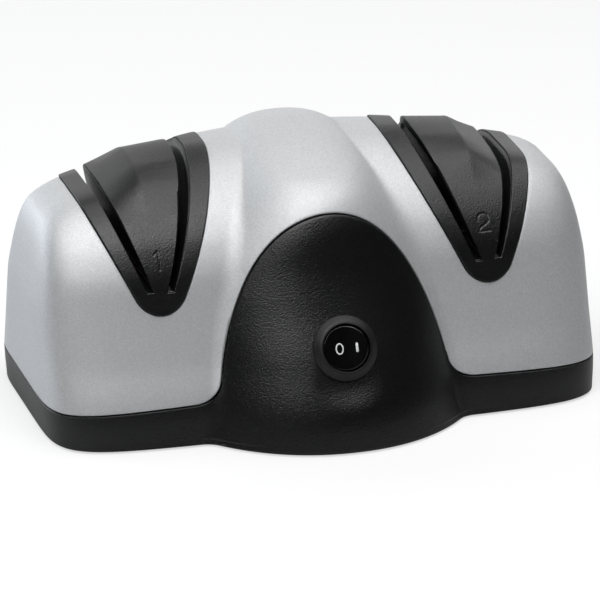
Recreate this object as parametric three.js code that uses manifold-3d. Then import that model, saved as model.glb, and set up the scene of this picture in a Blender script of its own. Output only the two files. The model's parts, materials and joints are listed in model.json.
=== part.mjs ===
// Electric knife sharpener with two stages. Millimetres, +Z up, the front faces -Y.
// The origin is on the table under the middle of the body's width and depth.
import * as THREE from 'three';
import { mergeVertices } from 'three/addons/utils/BufferGeometryUtils.js';
import { ConvexGeometry } from 'three/addons/geometries/ConvexGeometry.js';
import Module from 'manifold-3d';

const wasm = await Module();
wasm.setup();

// Body
const bodyWidth = 222;
const wingHeight = 97.2;
const wingFrontDepth = 74.5;
const wingBackDepth = 47.5;
const domeHeight = 104.6;
const domeHalfWidth = 74.8;
const domeFrontDepth = 97.8;
const domeBackDepth = 48;
const crestY = (domeFrontDepth - domeBackDepth) / 2;
const rimLift = 0.8;
const wall = 2.3;
const ribX = 27;

// Parting between the silver and the black housing
const skirtEndHeight = 13.8;
const skirtInnerHeight = 15.6;
const skirtInnerX = 57.5;
const archHalfWidth = 47;
const archHeight = 83.8;
const partingGap = 0.5;
const tongueHeight = 2.6;
const tongueThickness = 1;

// Guide inserts
const stageX = 65.5;
const tipHeight = 49.3;
const tipRadius = 10.6;
const vAngle = THREE.MathUtils.degToRad(25.6);
const insertProud = 0.7;
const insertFit = 0.35;
const flangeWidth = 3;
const flangeThickness = 1.6;
const slotWidth = 3.8;
const slotOffset = 3.9;
const slotFloorHeight = 57.6;
const channelWall = 1.6;

// Shaft, wheels and fan
const shaftHeight = 40;
const shaftY = crestY - 11.5;
const shaftRadius = 3;
const shaftEnd = 75.5;
const runningGap = 0.08;
const pressGap = 0.04;
const wheelRadius = 24;
const wheelThickness = 5;
const hubRadius = 5;
const hubFlangeRadius = 10;
const hubFlangeThickness = 2;
const nutFlangeRadius = 9;
const nutFlangeThickness = 1.4;
const nutAcross = 10;
const nutHeight = 4.2;
const wheelRoom = 0.9;
const fanRadius = 19;
const fanWidth = 7;
const fanX = 33;
const bladeCount = 9;
const bladeThickness = 1.2;

// Motor
const stackThickness = 22;
const stackHalfDepth = 24;
const stackBelow = 20;
const stackTop = 40;
const rotorRadius = 13;
const airGap = 0.5;
const windowHalfDepth = 13;
const windowBottom = 20;
const barHeight = 10;
const partGap = 0.3;
const bobbinWall = 1.2;
const windingThickness = 7.2;
const bearingRadius = 6;
const bearingLength = 8;
const bracketPlate = 2;
const bracketReach = 6.5;
const bracketHalfDepth = 22;
const bracketHeight = 15;
const boltRadius = 2;
const boltY = 19;

// Lower housing furniture
const floorThickness = 2.5;
const seatHeight = 12;
const postRadius = 4.6;
const screwRadius = 1.8;
const screwHeadRadius = 3.4;
const screwHeadHeight = 2.2;
const screwBoreGap = 0.3;
const threadGap = 0.12;
const postInset = 15;
const frontPostSetback = 27;
const backPostSetback = 21;
const frontPost = { x: bodyWidth / 2 - postInset, y: crestY - wingFrontDepth + frontPostSetback };
const backPost = { x: bodyWidth / 2 - postInset, y: crestY + wingBackDepth - backPostSetback };
const motorPostX = 20;
const motorPostY = 18;
const bulkheadX = 46;
const bulkheadThickness = 2;
const bulkheadHeight = 36;
const footRadius = 8;
const footInset = 27;
const footFrontSetback = 19.5;
const footBackSetback = 20.5;
const footX = bodyWidth / 2 - footInset;
const footFrontY = crestY - wingFrontDepth + footFrontSetback;
const footBackY = crestY + wingBackDepth - footBackSetback;
const ventWidth = 3;
const ventLength = 26;
const ventPitch = 7;
const ventCount = 5;

// Cord gland
const glandHeight = 9.2;
const glandRadius = 4.6;
const glandFlangeRadius = 5.4;
const glandBoreRadius = 3.1;
const glandLip = 3.1;
const glandLock = 2;
const glandSeatY = crestY + 44.2;

// Switch
const switchHeight = 37;
const faceLean = THREE.MathUtils.degToRad(25.2);
const seatRadius = 13;
const bezelRadius = 12.3;
const bezelTopRadius = 10.2;
const bezelRise = 3;
const bezelRound = 0.8;
const bezelBoreRadius = 9.4;
const barrelRadius = 10;
const barrelDepth = 17;
const rockerRadius = 8.8;
const rockerAxisDepth = 2.2;
const rockerTilt = THREE.MathUtils.degToRad(6);
const rockerTop = 1.2;
const rockerSkirt = 2.6;
const terminalWidth = 4.8;
const terminalThickness = 0.8;
const terminalLength = 8;
const terminalSpread = 5;

// Mesh fineness and cutting overrun
const bodySegments = 48;
const domeSegments = 40;
const insideSegments = 28;
const insideStep = 2;
const roundSegments = 24;
const overrun = 30;

// Levels of the wings, foot to crest, as [depth share, height share, half width share].
const wingProfileShares = [
  [1, 0, 0.991], [0.96, 0.146, 1], [0.867, 0.32, 1], [0.785, 0.5, 0.999], [0.73, 0.63, 0.987],
  [0.652, 0.735, 0.97], [0.55, 0.822, 0.942], [0.44, 0.888, 0.866], [0.34, 0.935, 0.64],
  [0.24, 0.97, 0.52], [0.12, 0.9945, 0.45], [0, 1, 0],
];
// The same for the dome.
const domeProfileShares = [
  [1, 0, 1], [0.975, 0.106, 0.944], [0.877, 0.295, 0.876], [0.757, 0.485, 0.836], [0.69, 0.61, 0.76],
  [0.635, 0.744, 0.583], [0.576, 0.83, 0.455], [0.492, 0.889, 0.372], [0.395, 0.923, 0.325],
  [0.265, 0.96, 0.25], [0.12, 0.988, 0.157], [0.03, 0.9975, 0.07], [0, 1, 0],
];
const wingFrontSquareness = [8.6, 6.6];
const wingBackSquareness = [3.6, 1.8];
const squarenessFromShare = 0.15;
const wingBowShare = 0.032;
const domeSquareness = [2.1, 2.2];
const backFullness = 0.69;

// The roof of a guide insert between its slots, from front to back: [depth share ahead of the crest, or
// back depth share behind it, then the heights of its crease, inner edge and outer edge as shares].
const ridgeShares = [
  [-0.55, 0.822, 0.82, 0.81], [-0.44, 0.905, 0.9, 0.882], [-0.34, 0.955, 0.953, 0.91],
  [-0.2, 0.987, 0.985, 0.922], [0, 0.998, 0.998, 0.926], [0.15, 0.972, 0.972, 0.918],
  [0.3, 0.905, 0.905, 0.88], [0.43, 0.822, 0.82, 0.81],
];

const silverPaint = { color: 0xa9aaad, roughness: 0.38, metalness: 0.6 };
const blackPlastic = { color: 0x161718, roughness: 0.5, metalness: 0 };
const glossBlack = { color: 0x0c0c0d, roughness: 0.25, metalness: 0 };
const rubber = { color: 0x1a1a1a, roughness: 0.9, metalness: 0 };
const steel = { color: 0x9a9c9f, roughness: 0.35, metalness: 1 };
const laminatedSteel = { color: 0x6c6e72, roughness: 0.55, metalness: 0.9 };
const copper = { color: 0xa8622e, roughness: 0.4, metalness: 0.9 };
const bronze = { color: 0xa5793e, roughness: 0.5, metalness: 0.9 };
const nylon = { color: 0xd8d4c6, roughness: 0.6, metalness: 0 };
const coarseGrit = { color: 0x8d5f4a, roughness: 0.9, metalness: 0 };
const fineGrit = { color: 0xc9c4b8, roughness: 0.85, metalness: 0 };

const root = new THREE.Group();

// A closed geometry as a solid that can be joined and cut.
function solid(geometry) {
  const bare = geometry.clone();
  bare.deleteAttribute('normal');
  bare.deleteAttribute('uv');
  const merged = mergeVertices(bare);
  return new wasm.Manifold(new wasm.Mesh({
    numProp: 3,
    vertProperties: merged.attributes.position.array,
    triVerts: new Uint32Array(merged.index.array),
  }));
}

function geometryOf(body) {
  const mesh = body.getMesh();
  const geometry = new THREE.BufferGeometry();
  geometry.setAttribute('position', new THREE.BufferAttribute(new Float32Array(mesh.vertProperties), 3));
  geometry.setIndex(new THREE.BufferAttribute(new Uint32Array(mesh.triVerts), 1));
  geometry.computeVertexNormals();
  return geometry;
}

function addPiece(name, body, look, parent = root) {
  const geometry = body.isBufferGeometry ? body : geometryOf(body);
  const mesh = new THREE.Mesh(geometry, new THREE.MeshStandardMaterial(look));
  mesh.name = name;
  parent.add(mesh);
  return mesh;
}

// A solid skin through rings of equal count, each running counter-clockwise seen from above.
function loft(rings, apex) {
  const count = rings[0].length;
  const points = rings.flat();
  const faces = [];
  for (let level = 0; level < rings.length - 1; level += 1) {
    for (let i = 0; i < count; i += 1) {
      const next = (i + 1) % count;
      const low = level * count;
      const high = low + count;
      faces.push(low + i, low + next, high + next);
      faces.push(low + i, high + next, high + i);
    }
  }
  const centre = new THREE.Vector3();
  rings[0].forEach((point) => centre.addScaledVector(point, 1 / count));
  const bottom = points.push(centre) - 1;
  const top = points.push(apex) - 1;
  const last = (rings.length - 1) * count;
  for (let i = 0; i < count; i += 1) {
    const next = (i + 1) % count;
    faces.push(bottom, next, i);
    faces.push(top, last + i, last + next);
  }
  const geometry = new THREE.BufferGeometry().setFromPoints(points);
  geometry.setIndex(faces);
  return solid(geometry);
}

// One level of the body: a rounded box outline, deeper in front of the crest line than behind it.
// The front edge bows back a little towards the ends.
function levelRing(half, front, back, height, squareness, bow, count) {
  const ring = [];
  for (let i = 0; i < count; i += 1) {
    const turn = (i / count) * Math.PI * 2;
    const across = Math.cos(turn);
    const along = Math.sin(turn);
    const power = along < 0 ? squareness[0] : squareness[1];
    const reach = (Math.abs(across) ** power + Math.abs(along) ** power) ** (-1 / power);
    const depth = along < 0 ? front * (1 - bow * (reach * across) ** 2) : back;
    ring.push(new THREE.Vector3(half * reach * across, crestY + depth * reach * along, height));
  }
  return ring;
}

// Squareness changes evenly from the skirt to the crest.
function squarenessAt(range, heightShare) {
  const share = Math.max(0, (heightShare - squarenessFromShare) / (1 - squarenessFromShare));
  return range[0] + (range[1] - range[0]) * share;
}

// Inside surfaces are coarser than outside ones: fewer levels of the outline and fewer points a level.
function levels(outlineShares, grow) {
  const open = outlineShares.slice(0, -1);
  return grow < 0 ? open.filter((entry, i) => i % insideStep === 0) : open;
}

// The two wings as one body, grown outwards by a distance or drawn in by a negative one.
function wingBody(grow) {
  const height = wingHeight + grow;
  const rings = levels(wingProfileShares, grow).map(([depthShare, heightShare, halfShare]) => levelRing(
    (bodyWidth / 2 + grow) * halfShare,
    (wingFrontDepth + grow) * depthShare,
    (wingBackDepth + grow) * depthShare ** backFullness,
    height * heightShare,
    [squarenessAt(wingFrontSquareness, heightShare), squarenessAt(wingBackSquareness, heightShare)],
    wingBowShare,
    grow < 0 ? insideSegments : bodySegments,
  ));
  return loft(rings, new THREE.Vector3(0, crestY, height));
}

function domeBody(grow) {
  const height = domeHeight + grow;
  const rings = levels(domeProfileShares, grow).map(([depthShare, heightShare, halfShare]) => levelRing(
    (domeHalfWidth + grow) * halfShare,
    (domeFrontDepth + grow) * depthShare,
    (domeBackDepth + grow) * depthShare ** backFullness,
    height * heightShare,
    domeSquareness,
    0,
    grow < 0 ? insideSegments : domeSegments,
  ));
  return loft(rings, new THREE.Vector3(0, crestY, height));
}

function wholeBody(grow) {
  return wingBody(grow).add(domeBody(grow));
}

// A front-view outline (x, z) made into a prism between two depths.
function depthPrism(shape, nearY, farY) {
  const geometry = new THREE.ExtrudeGeometry(shape, {
    depth: farY - nearY, bevelEnabled: false, curveSegments: 12,
  });
  geometry.rotateX(Math.PI / 2);
  geometry.translate(0, farY, 0);
  return solid(geometry);
}

function box(low, high) {
  const geometry = new THREE.BoxGeometry(high[0] - low[0], high[1] - low[1], high[2] - low[2]);
  geometry.translate((low[0] + high[0]) / 2, (low[1] + high[1]) / 2, (low[2] + high[2]) / 2);
  return solid(geometry);
}

// A round bar along X, Y or Z between two stations.
function bar(axis, radius, from, to, centre = [0, 0], segments = roundSegments) {
  const geometry = new THREE.CylinderGeometry(radius, radius, to - from, segments);
  const middle = (from + to) / 2;
  if (axis === 'x') {
    geometry.rotateZ(Math.PI / 2);
    geometry.translate(middle, centre[0], centre[1]);
  } else if (axis === 'y') {
    geometry.translate(centre[0], middle, centre[1]);
  } else {
    geometry.rotateX(Math.PI / 2);
    geometry.translate(centre[0], centre[1], middle);
  }
  return solid(geometry);
}

// A turned piece about the local Z axis from [radius, height] pairs that start and end on the axis.
function turned(profile, segments = roundSegments) {
  const points = profile.map(([radius, height]) => new THREE.Vector2(radius, height));
  const geometry = new THREE.LatheGeometry(points, segments);
  geometry.rotateX(Math.PI / 2);
  return geometry;
}

const farFront = crestY - domeFrontDepth - overrun;
const farBack = crestY + domeBackDepth + overrun;

// The space of the black housing: the skirt all round, and the arch in front of the crest line.
function lowerSpace(grow) {
  const far = bodyWidth / 2 + overrun;
  const fall = (skirtInnerHeight - skirtEndHeight) / (bodyWidth / 2 - skirtInnerX);
  const farHeight = skirtInnerHeight - fall * (far - skirtInnerX) + grow;
  const skirt = new THREE.Shape();
  skirt.moveTo(-far, -overrun);
  skirt.lineTo(far, -overrun);
  skirt.lineTo(far, farHeight);
  skirt.lineTo(skirtInnerX, skirtInnerHeight + grow);
  skirt.lineTo(-skirtInnerX, skirtInnerHeight + grow);
  skirt.lineTo(-far, farHeight);
  const arch = new THREE.Shape();
  const width = archHalfWidth + grow;
  const height = archHeight + grow;
  const cornerShare = 0.29;
  const start = Math.asin(cornerShare);
  const cornerX = width * Math.cos(start);
  arch.moveTo(-skirtInnerX, 0);
  arch.lineTo(skirtInnerX, 0);
  arch.lineTo(skirtInnerX, skirtInnerHeight + grow);
  arch.quadraticCurveTo(width, skirtInnerHeight + grow, cornerX, height * cornerShare);
  arch.absellipse(0, 0, width, height, start, Math.PI - start, false);
  arch.quadraticCurveTo(-width, skirtInnerHeight + grow, -skirtInnerX, skirtInnerHeight + grow);
  return depthPrism(skirt, farFront, farBack).add(depthPrism(arch, farFront, crestY));
}

// The V outline of one insert in front view, grown all round.
function insertSpace(side, grow) {
  const centre = tipHeight + tipRadius;
  const radius = tipRadius + grow;
  const top = domeHeight + overrun;
  const spread = (height) => radius / Math.cos(vAngle) + (height - centre) * Math.tan(vAngle);
  const shape = new THREE.Shape();
  shape.moveTo(stageX + spread(top), top);
  shape.lineTo(stageX - spread(top), top);
  shape.absarc(stageX, centre, radius, Math.PI + vAngle, Math.PI * 2 - vAngle, false);
  const prism = depthPrism(shape, farFront, farBack);
  return side > 0 ? prism : prism.mirror([1, 0, 0]);
}

// A slab along the blade's path: one slot leans out of the stage and one leans in.
function slotSlab(side, lean, width, floor) {
  const geometry = new THREE.BoxGeometry(width, farBack - farFront, domeHeight + overrun);
  geometry.translate(0, (farBack + farFront) / 2, (domeHeight + overrun) / 2);
  geometry.rotateY(lean * vAngle);
  geometry.translate(side * stageX + lean * slotOffset, 0, slotFloorHeight);
  const above = box(
    [-bodyWidth, farFront - overrun, floor],
    [bodyWidth, farBack + overrun, domeHeight + overrun * 2],
  );
  const lowered = geometry.translate(
    lean * (floor - slotFloorHeight - overrun) * Math.tan(vAngle), 0, floor - slotFloorHeight - overrun,
  );
  return solid(lowered).intersect(above);
}

// Upper housing
function upperHousing() {
  let body = wholeBody(0).subtract(wholeBody(-wall));
  body = body.subtract(lowerSpace(partingGap));
  for (const side of [-1, 1]) {
    body = body.subtract(insertSpace(side, insertFit));
  }
  const inside = wholeBody(-wall / 2);
  for (const side of [-1, 1]) {
    const rib = box(
      [side * ribX - wall / 4, farFront, archHeight + tongueHeight + wall],
      [side * ribX + wall / 4, farBack, domeHeight],
    );
    body = body.add(rib.intersect(inside).subtract(wholeBody(-wall * 2)));
    for (const post of [frontPost, backPost]) {
      const at = [side * post.x, post.y];
      const column = bar('z', postRadius, seatHeight, domeHeight, at, roundSegments / 2);
      const pilot = bar('z', screwRadius, seatHeight - overrun, seatHeight * 2.5, at, roundSegments / 2);
      body = body.add(column.intersect(inside)).subtract(pilot);
    }
  }
  return body;
}

// The round tube and its head pocket for one housing screw, standing on the floor.
function screwTube(at) {
  const top = seatHeight - partGap;
  const tube = bar('z', postRadius, rimLift, top, at, roundSegments / 2);
  const shank = bar('z', screwRadius + screwBoreGap, 0, seatHeight, at, roundSegments / 2);
  const pocket = bar('z', screwHeadRadius + screwBoreGap, 0, seatHeight / 2, at, roundSegments / 2);
  return { tube, bore: shank.add(pocket) };
}

const switchY = crestY - domeFrontDepth + switchHeight * Math.tan(faceLean);
const switchFrame = new THREE.Matrix4()
  .makeRotationX(Math.PI / 2 - faceLean)
  .setPosition(0, switchY, switchHeight);

function inSwitchFrame(geometry) {
  return solid(geometry.clone().applyMatrix4(switchFrame));
}

// Lower housing: its wall is as thick as the upper wall and the tongue behind it together.
function lowerHousing() {
  const cavity = wholeBody(-wall - partGap - tongueThickness).intersect(
    box([-bodyWidth, farFront, rimLift + floorThickness], [bodyWidth, farBack, domeHeight * 2]),
  );
  const tongue = wholeBody(-wall - partGap).intersect(lowerSpace(tongueHeight));
  let body = wholeBody(0).intersect(lowerSpace(0)).add(tongue).subtract(cavity);
  body = body.subtract(box([-bodyWidth, farFront, -overrun], [bodyWidth, farBack, rimLift]));

  for (const side of [-1, 1]) {
    const inner = side * (bulkheadX - bulkheadThickness / 2);
    const outer = side * (bulkheadX + bulkheadThickness / 2);
    const bulkhead = box(
      [Math.min(inner, outer), farFront, rimLift + floorThickness / 2],
      [Math.max(inner, outer), farBack, bulkheadHeight],
    );
    const notch = bar('x', shaftRadius * 2, -bodyWidth, bodyWidth, [shaftY, shaftHeight]);
    body = body.add(bulkhead.intersect(wholeBody(-wall - partGap * 2))).subtract(notch);
    for (const post of [frontPost, backPost]) {
      const at = [side * post.x, post.y];
      const room = bar('z', postRadius + partGap, seatHeight - partGap, archHeight, at, roundSegments / 2);
      const { tube, bore } = screwTube(at);
      body = body.subtract(room).add(tube).subtract(bore);
    }
    for (const end of [-1, 1]) {
      const at = [side * motorPostX, shaftY + end * motorPostY];
      const pilot = bar('z', screwRadius, rimLift + floorThickness, seatHeight, at, roundSegments / 2);
      const post = bar('z', postRadius, rimLift, seatHeight - partGap, at, roundSegments / 2);
      body = body.add(post).subtract(pilot);
    }
    for (const y of [footFrontY, footBackY]) {
      body = body.subtract(bar('z', footRadius + partGap, 0, rimLift + floorThickness / 2, [side * footX, y]));
    }
  }
  const middle = (ventCount - 1) / 2;
  for (let i = 0; i < ventCount; i += 1) {
    const x = (i - middle) * ventPitch;
    body = body.subtract(box(
      [x - ventWidth / 2, shaftY - ventLength / 2, 0],
      [x + ventWidth / 2, shaftY + ventLength / 2, rimLift + floorThickness * 2],
    ));
  }
  const glandAt = [0, glandHeight];
  const boss = bar('y', glandFlangeRadius + wall, glandSeatY - wall, farBack, glandAt);
  body = body.add(boss.intersect(wholeBody(-wall / 2)).intersect(lowerSpace(-partGap)));
  body = body.subtract(bar('y', glandFlangeRadius + partGap, glandSeatY, farBack, glandAt));
  body = body.subtract(bar('y', glandFlangeRadius + partGap, glandSeatY - wall * 3, glandSeatY - wall, glandAt));
  body = body.subtract(bar('y', glandRadius + partGap, crestY, farBack, glandAt));

  const seat = new THREE.CylinderGeometry(seatRadius, seatRadius, overrun, roundSegments);
  seat.rotateX(Math.PI / 2).translate(0, 0, overrun / 2);
  const backing = new THREE.CylinderGeometry(seatRadius + wall / 2, seatRadius + wall / 2, wall, roundSegments);
  backing.rotateX(Math.PI / 2).translate(0, 0, -wall / 2 - wall / 4);
  const hole = new THREE.CylinderGeometry(
    barrelRadius + partGap, barrelRadius + partGap, barrelDepth * 2, roundSegments,
  );
  hole.rotateX(Math.PI / 2);
  return body.add(inSwitchFrame(backing)).subtract(inSwitchFrame(seat)).subtract(inSwitchFrame(hole));
}

// One guide insert: a saddle-shaped plate with a flange behind the silver wall,
// two slanted channels for the blade and the room for the wheel between them.
function guideInsert(side) {
  const flangeTop = wall + partGap;
  const inner = wingBody(-flangeTop - flangeThickness);
  const plate = wingBody(insertProud).intersect(insertSpace(side, 0));
  const flange = wingBody(-flangeTop).intersect(insertSpace(side, flangeWidth));
  let body = plate.add(ridgeCap(side)).add(flange).subtract(inner);
  for (const lean of [-1, 1]) {
    const trough = slotSlab(side, lean, slotWidth + channelWall * 2, slotFloorHeight - channelWall);
    body = body.add(trough.intersect(wingBody(-wall / 2)));
  }
  for (const lean of [-1, 1]) {
    body = body.subtract(slotSlab(side, lean, slotWidth, slotFloorHeight));
  }
  const half = wheelThickness / 2 + wheelRoom;
  return body.subtract(bar('x', wheelRadius + wheelRoom, side * stageX - half, side * stageX + half,
    [shaftY, shaftHeight], roundSegments * 2));
}

// The roof between the slots: two slopes that meet in a crease over the crest and run out forwards.
function ridgeCap(side) {
  const centre = tipHeight + tipRadius;
  const slotRadius = (slotOffset + (centre - slotFloorHeight) * Math.tan(vAngle)) * Math.cos(vAngle);
  const points = [];
  for (const [depthShare, creaseShare, innerShare, outerShare] of ridgeShares) {
    const depth = depthShare < 0 ? wingFrontDepth : wingBackDepth;
    const y = crestY + depthShare * depth;
    const edge = (lean, share) => slotX(lean, wingHeight * share);
    points.push(new THREE.Vector3(side * stageX, y, wingHeight * creaseShare));
    points.push(new THREE.Vector3(side * edge(-1, innerShare), y, wingHeight * innerShare));
    points.push(new THREE.Vector3(side * edge(1, outerShare), y, wingHeight * outerShare));
    points.push(new THREE.Vector3(side * stageX, y, wingHeight * ridgeShares[0][3] - flangeThickness));
  }
  return solid(new ConvexGeometry(points)).intersect(insertSpace(side, slotRadius - tipRadius));
}

// Distance from the middle of the body to the middle of a slot at a height.
function slotX(lean, height) {
  return stageX + lean * (slotOffset + (height - slotFloorHeight) * Math.tan(vAngle));
}

// A ring of radius pairs turned about X and moved along it, for what sits on the shaft.
function onShaft(profile, segments = roundSegments) {
  const geometry = turned(profile, segments);
  geometry.rotateY(Math.PI / 2);
  geometry.translate(0, shaftY, shaftHeight);
  return geometry;
}

// A sleeve on the shaft: each step is [outer radius, from, to], with one bore.
function sleeve(steps, bore, segments = roundSegments) {
  const profile = [[bore, steps[0][1]]];
  for (const [radius, from, to] of steps) {
    profile.push([radius, from], [radius, to]);
  }
  profile.push([bore, steps[steps.length - 1][2]], [bore, steps[0][1]]);
  return onShaft(profile, segments);
}

// Motor
const motor = new THREE.Group();
root.add(motor);

function stackOutline() {
  const low = shaftHeight - stackBelow;
  const high = shaftHeight + stackTop;
  const chamfer = stackBelow / 4;
  const outline = new THREE.Shape();
  outline.moveTo(-stackHalfDepth, low + chamfer);
  outline.lineTo(-stackHalfDepth + chamfer, low);
  outline.lineTo(stackHalfDepth - chamfer, low);
  outline.lineTo(stackHalfDepth, low + chamfer);
  outline.lineTo(stackHalfDepth, high);
  outline.lineTo(windowHalfDepth, high);
  outline.lineTo(windowHalfDepth, shaftHeight + windowBottom);
  outline.lineTo(-windowHalfDepth, shaftHeight + windowBottom);
  outline.lineTo(-windowHalfDepth, high);
  outline.lineTo(-stackHalfDepth, high);
  return outline;
}

// A side-view outline (y, z) made into a plate between two stations along X.
function sidePlate(shape, fromX, toX) {
  const geometry = new THREE.ExtrudeGeometry(shape, {
    depth: toX - fromX, bevelEnabled: false, curveSegments: 8,
  });
  geometry.rotateZ(Math.PI / 2);
  geometry.rotateY(Math.PI / 2);
  geometry.translate(fromX, shaftY, 0);
  return solid(geometry);
}

function boltHole(end, radius, from, to) {
  return bar('x', radius, from, to, [shaftY + end * boltY, shaftHeight], roundSegments / 2);
}

const halfStack = stackThickness / 2;
let stack = sidePlate(stackOutline(), -halfStack, halfStack);
stack = stack.subtract(bar('x', rotorRadius + airGap, -bodyWidth, bodyWidth, [shaftY, shaftHeight]));
for (const end of [-1, 1]) {
  stack = stack.subtract(boltHole(end, boltRadius + partGap, -bodyWidth, bodyWidth));
}
addPiece('stator_stack', stack, laminatedSteel, motor);

const barLow = shaftHeight + stackTop - barHeight;
const barHigh = shaftHeight + stackTop;
addPiece('stator_core_bar', box(
  [-halfStack, shaftY - windowHalfDepth + partGap, barLow],
  [halfStack, shaftY + windowHalfDepth - partGap, barHigh],
), laminatedSteel, motor);

const tubeGap = partGap + bobbinWall;
const flangeReach = tubeGap + windingThickness + partGap;
const coilHalf = windowHalfDepth - partGap;
let bobbin = box(
  [-halfStack - tubeGap, shaftY - coilHalf, barLow - tubeGap],
  [halfStack + tubeGap, shaftY + coilHalf, barHigh + tubeGap],
);
for (const end of [-1, 1]) {
  const face = shaftY + end * coilHalf;
  const back = face - end * bobbinWall;
  bobbin = bobbin.add(box(
    [-halfStack - flangeReach, Math.min(face, back), barLow - flangeReach],
    [halfStack + flangeReach, Math.max(face, back), barHigh + flangeReach],
  ));
}
bobbin = bobbin.subtract(box(
  [-halfStack - partGap, shaftY - stackHalfDepth, barLow - partGap],
  [halfStack + partGap, shaftY + stackHalfDepth, barHigh + partGap],
));
addPiece('coil_bobbin', bobbin, nylon, motor);

const woundHalf = coilHalf - bobbinWall - partGap;
const woundIn = tubeGap + partGap / 2;
const wound = woundIn + windingThickness - partGap;
const winding = box(
  [-halfStack - wound, shaftY - woundHalf, barLow - wound],
  [halfStack + wound, shaftY + woundHalf, barHigh + wound],
).subtract(box(
  [-halfStack - woundIn, shaftY - stackHalfDepth, barLow - woundIn],
  [halfStack + woundIn, shaftY + stackHalfDepth, barHigh + woundIn],
));
addPiece('coil_winding', winding, copper, motor);

// A bracket bridges the rotor on two feet, holds the bearing and stands on the posts of the floor.
function bracket(side) {
  const face = halfStack + partGap;
  const bridge = face + bracketReach;
  const low = shaftHeight - bracketHeight / 2;
  const high = shaftHeight + bracketHeight / 2;
  const legY = rotorRadius + airGap;
  let body = box(
    [bridge, shaftY - legY - bracketPlate, low], [bridge + bracketPlate, shaftY + legY + bracketPlate, high],
  );
  for (const end of [-1, 1]) {
    const [near, far] = [legY, bracketHalfDepth].map((y) => shaftY + end * y).sort((p, q) => p - q);
    const [legNear, legFar] = [legY, legY + bracketPlate].map((y) => shaftY + end * y).sort((p, q) => p - q);
    body = body.add(box([face, near, seatHeight], [face + bracketPlate, far, high]));
    body = body.add(box([face, legNear, low], [bridge + bracketPlate, legFar, high]));
    body = body.add(box([face, near, seatHeight], [motorPostX + postRadius, far, seatHeight + bracketPlate]));
    body = body.subtract(boltHole(end, boltRadius + partGap, 0, face + bracketPlate * 2));
    const at = [motorPostX, shaftY + end * motorPostY];
    body = body.subtract(bar('z', screwRadius + partGap, 0, shaftHeight, at, roundSegments / 2));
  }
  const boss = bar('x', bearingRadius + bracketPlate, bridge, bridge + bearingLength, [shaftY, shaftHeight]);
  const bore = bar('x', bearingRadius + pressGap, 0, bodyWidth, [shaftY, shaftHeight]);
  body = body.add(boss).subtract(bore);
  return side > 0 ? body : body.mirror([1, 0, 0]);
}

const bearingFrom = halfStack + partGap + bracketReach;
for (const [side, word] of [[-1, 'left'], [1, 'right']]) {
  addPiece(`bracket_${word}`, bracket(side), steel, motor);
  const ends = [side * bearingFrom, side * (bearingFrom + bearingLength)].sort((a, b) => a - b);
  addPiece(`bearing_${word}`, sleeve([[bearingRadius, ...ends]], shaftRadius + runningGap), bronze, motor);
}

// A screw or bolt along local Z, with its head above zero and a slot across it.
function screw(radius, length, headRadius, headHeight) {
  const head = new THREE.CylinderGeometry(headRadius * 0.9, headRadius, headHeight, roundSegments / 2);
  head.rotateX(Math.PI / 2).translate(0, 0, headHeight / 2);
  const shank = new THREE.CylinderGeometry(radius, radius, length + headHeight / 2, roundSegments / 2);
  shank.rotateX(Math.PI / 2).translate(0, 0, (headHeight / 2 - length) / 2);
  const slot = box(
    [-headRadius * 2, -headHeight / 6, headHeight / 2], [headRadius * 2, headHeight / 6, headHeight * 2],
  );
  return solid(head).add(solid(shank)).subtract(slot);
}

for (const [side, sideWord] of [[-1, 'left'], [1, 'right']]) {
  for (const [end, endWord] of [[-1, 'front'], [1, 'rear']]) {
    const holder = addPiece(
      `motor_screw_${endWord}_${sideWord}`,
      screw(screwRadius - threadGap, seatHeight - floorThickness * 2, screwHeadRadius, screwHeadHeight),
      steel,
      motor,
    );
    holder.position.set(side * motorPostX, shaftY + end * motorPostY, seatHeight + bracketPlate + partGap);
  }
}
const boltLength = stackThickness + (bracketPlate + partGap) * 2 + boltRadius;
for (const [end, endWord] of [[-1, 'front'], [1, 'rear']]) {
  const face = halfStack + partGap * 2 + bracketPlate;
  const bolt = addPiece(
    `stack_bolt_${endWord}`, screw(boltRadius, boltLength, screwHeadRadius, screwHeadHeight), steel, motor,
  );
  bolt.rotation.y = -Math.PI / 2;
  bolt.position.set(-face, shaftY + end * boltY, shaftHeight);
}

// Rotor, shaft, fan and the wheels turn together.
const spinning = new THREE.Group();
root.add(spinning);

addPiece('shaft', bar('x', shaftRadius, -shaftEnd, shaftEnd, [shaftY, shaftHeight]), steel, spinning);
const ringLength = bracketReach - airGap * 4;
addPiece('rotor', sleeve([
  [rotorRadius - airGap, -halfStack - ringLength, -halfStack],
  [rotorRadius, -halfStack, halfStack],
  [rotorRadius - airGap, halfStack, halfStack + ringLength],
], shaftRadius + pressGap), laminatedSteel, spinning);

function coolingFan() {
  const hub = solid(sleeve([[hubRadius + bladeThickness, fanX, fanX + fanWidth]], shaftRadius + pressGap));
  const web = solid(sleeve([[fanRadius, fanX, fanX + bladeThickness]], shaftRadius + pressGap));
  let body = hub.add(web);
  for (let i = 0; i < bladeCount; i += 1) {
    const blade = new THREE.BoxGeometry(fanWidth - bladeThickness / 2, bladeThickness, fanRadius - hubRadius);
    blade.translate(fanX + fanWidth / 2 + bladeThickness / 4, 0, (fanRadius + hubRadius) / 2);
    blade.rotateX((i / bladeCount) * Math.PI * 2);
    blade.translate(0, shaftY, shaftHeight);
    body = body.add(solid(blade).intersect(bar('x', fanRadius, 0, bodyWidth, [shaftY, shaftHeight])));
  }
  return body;
}
addPiece('cooling_fan', coolingFan(), nylon, spinning);

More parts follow.
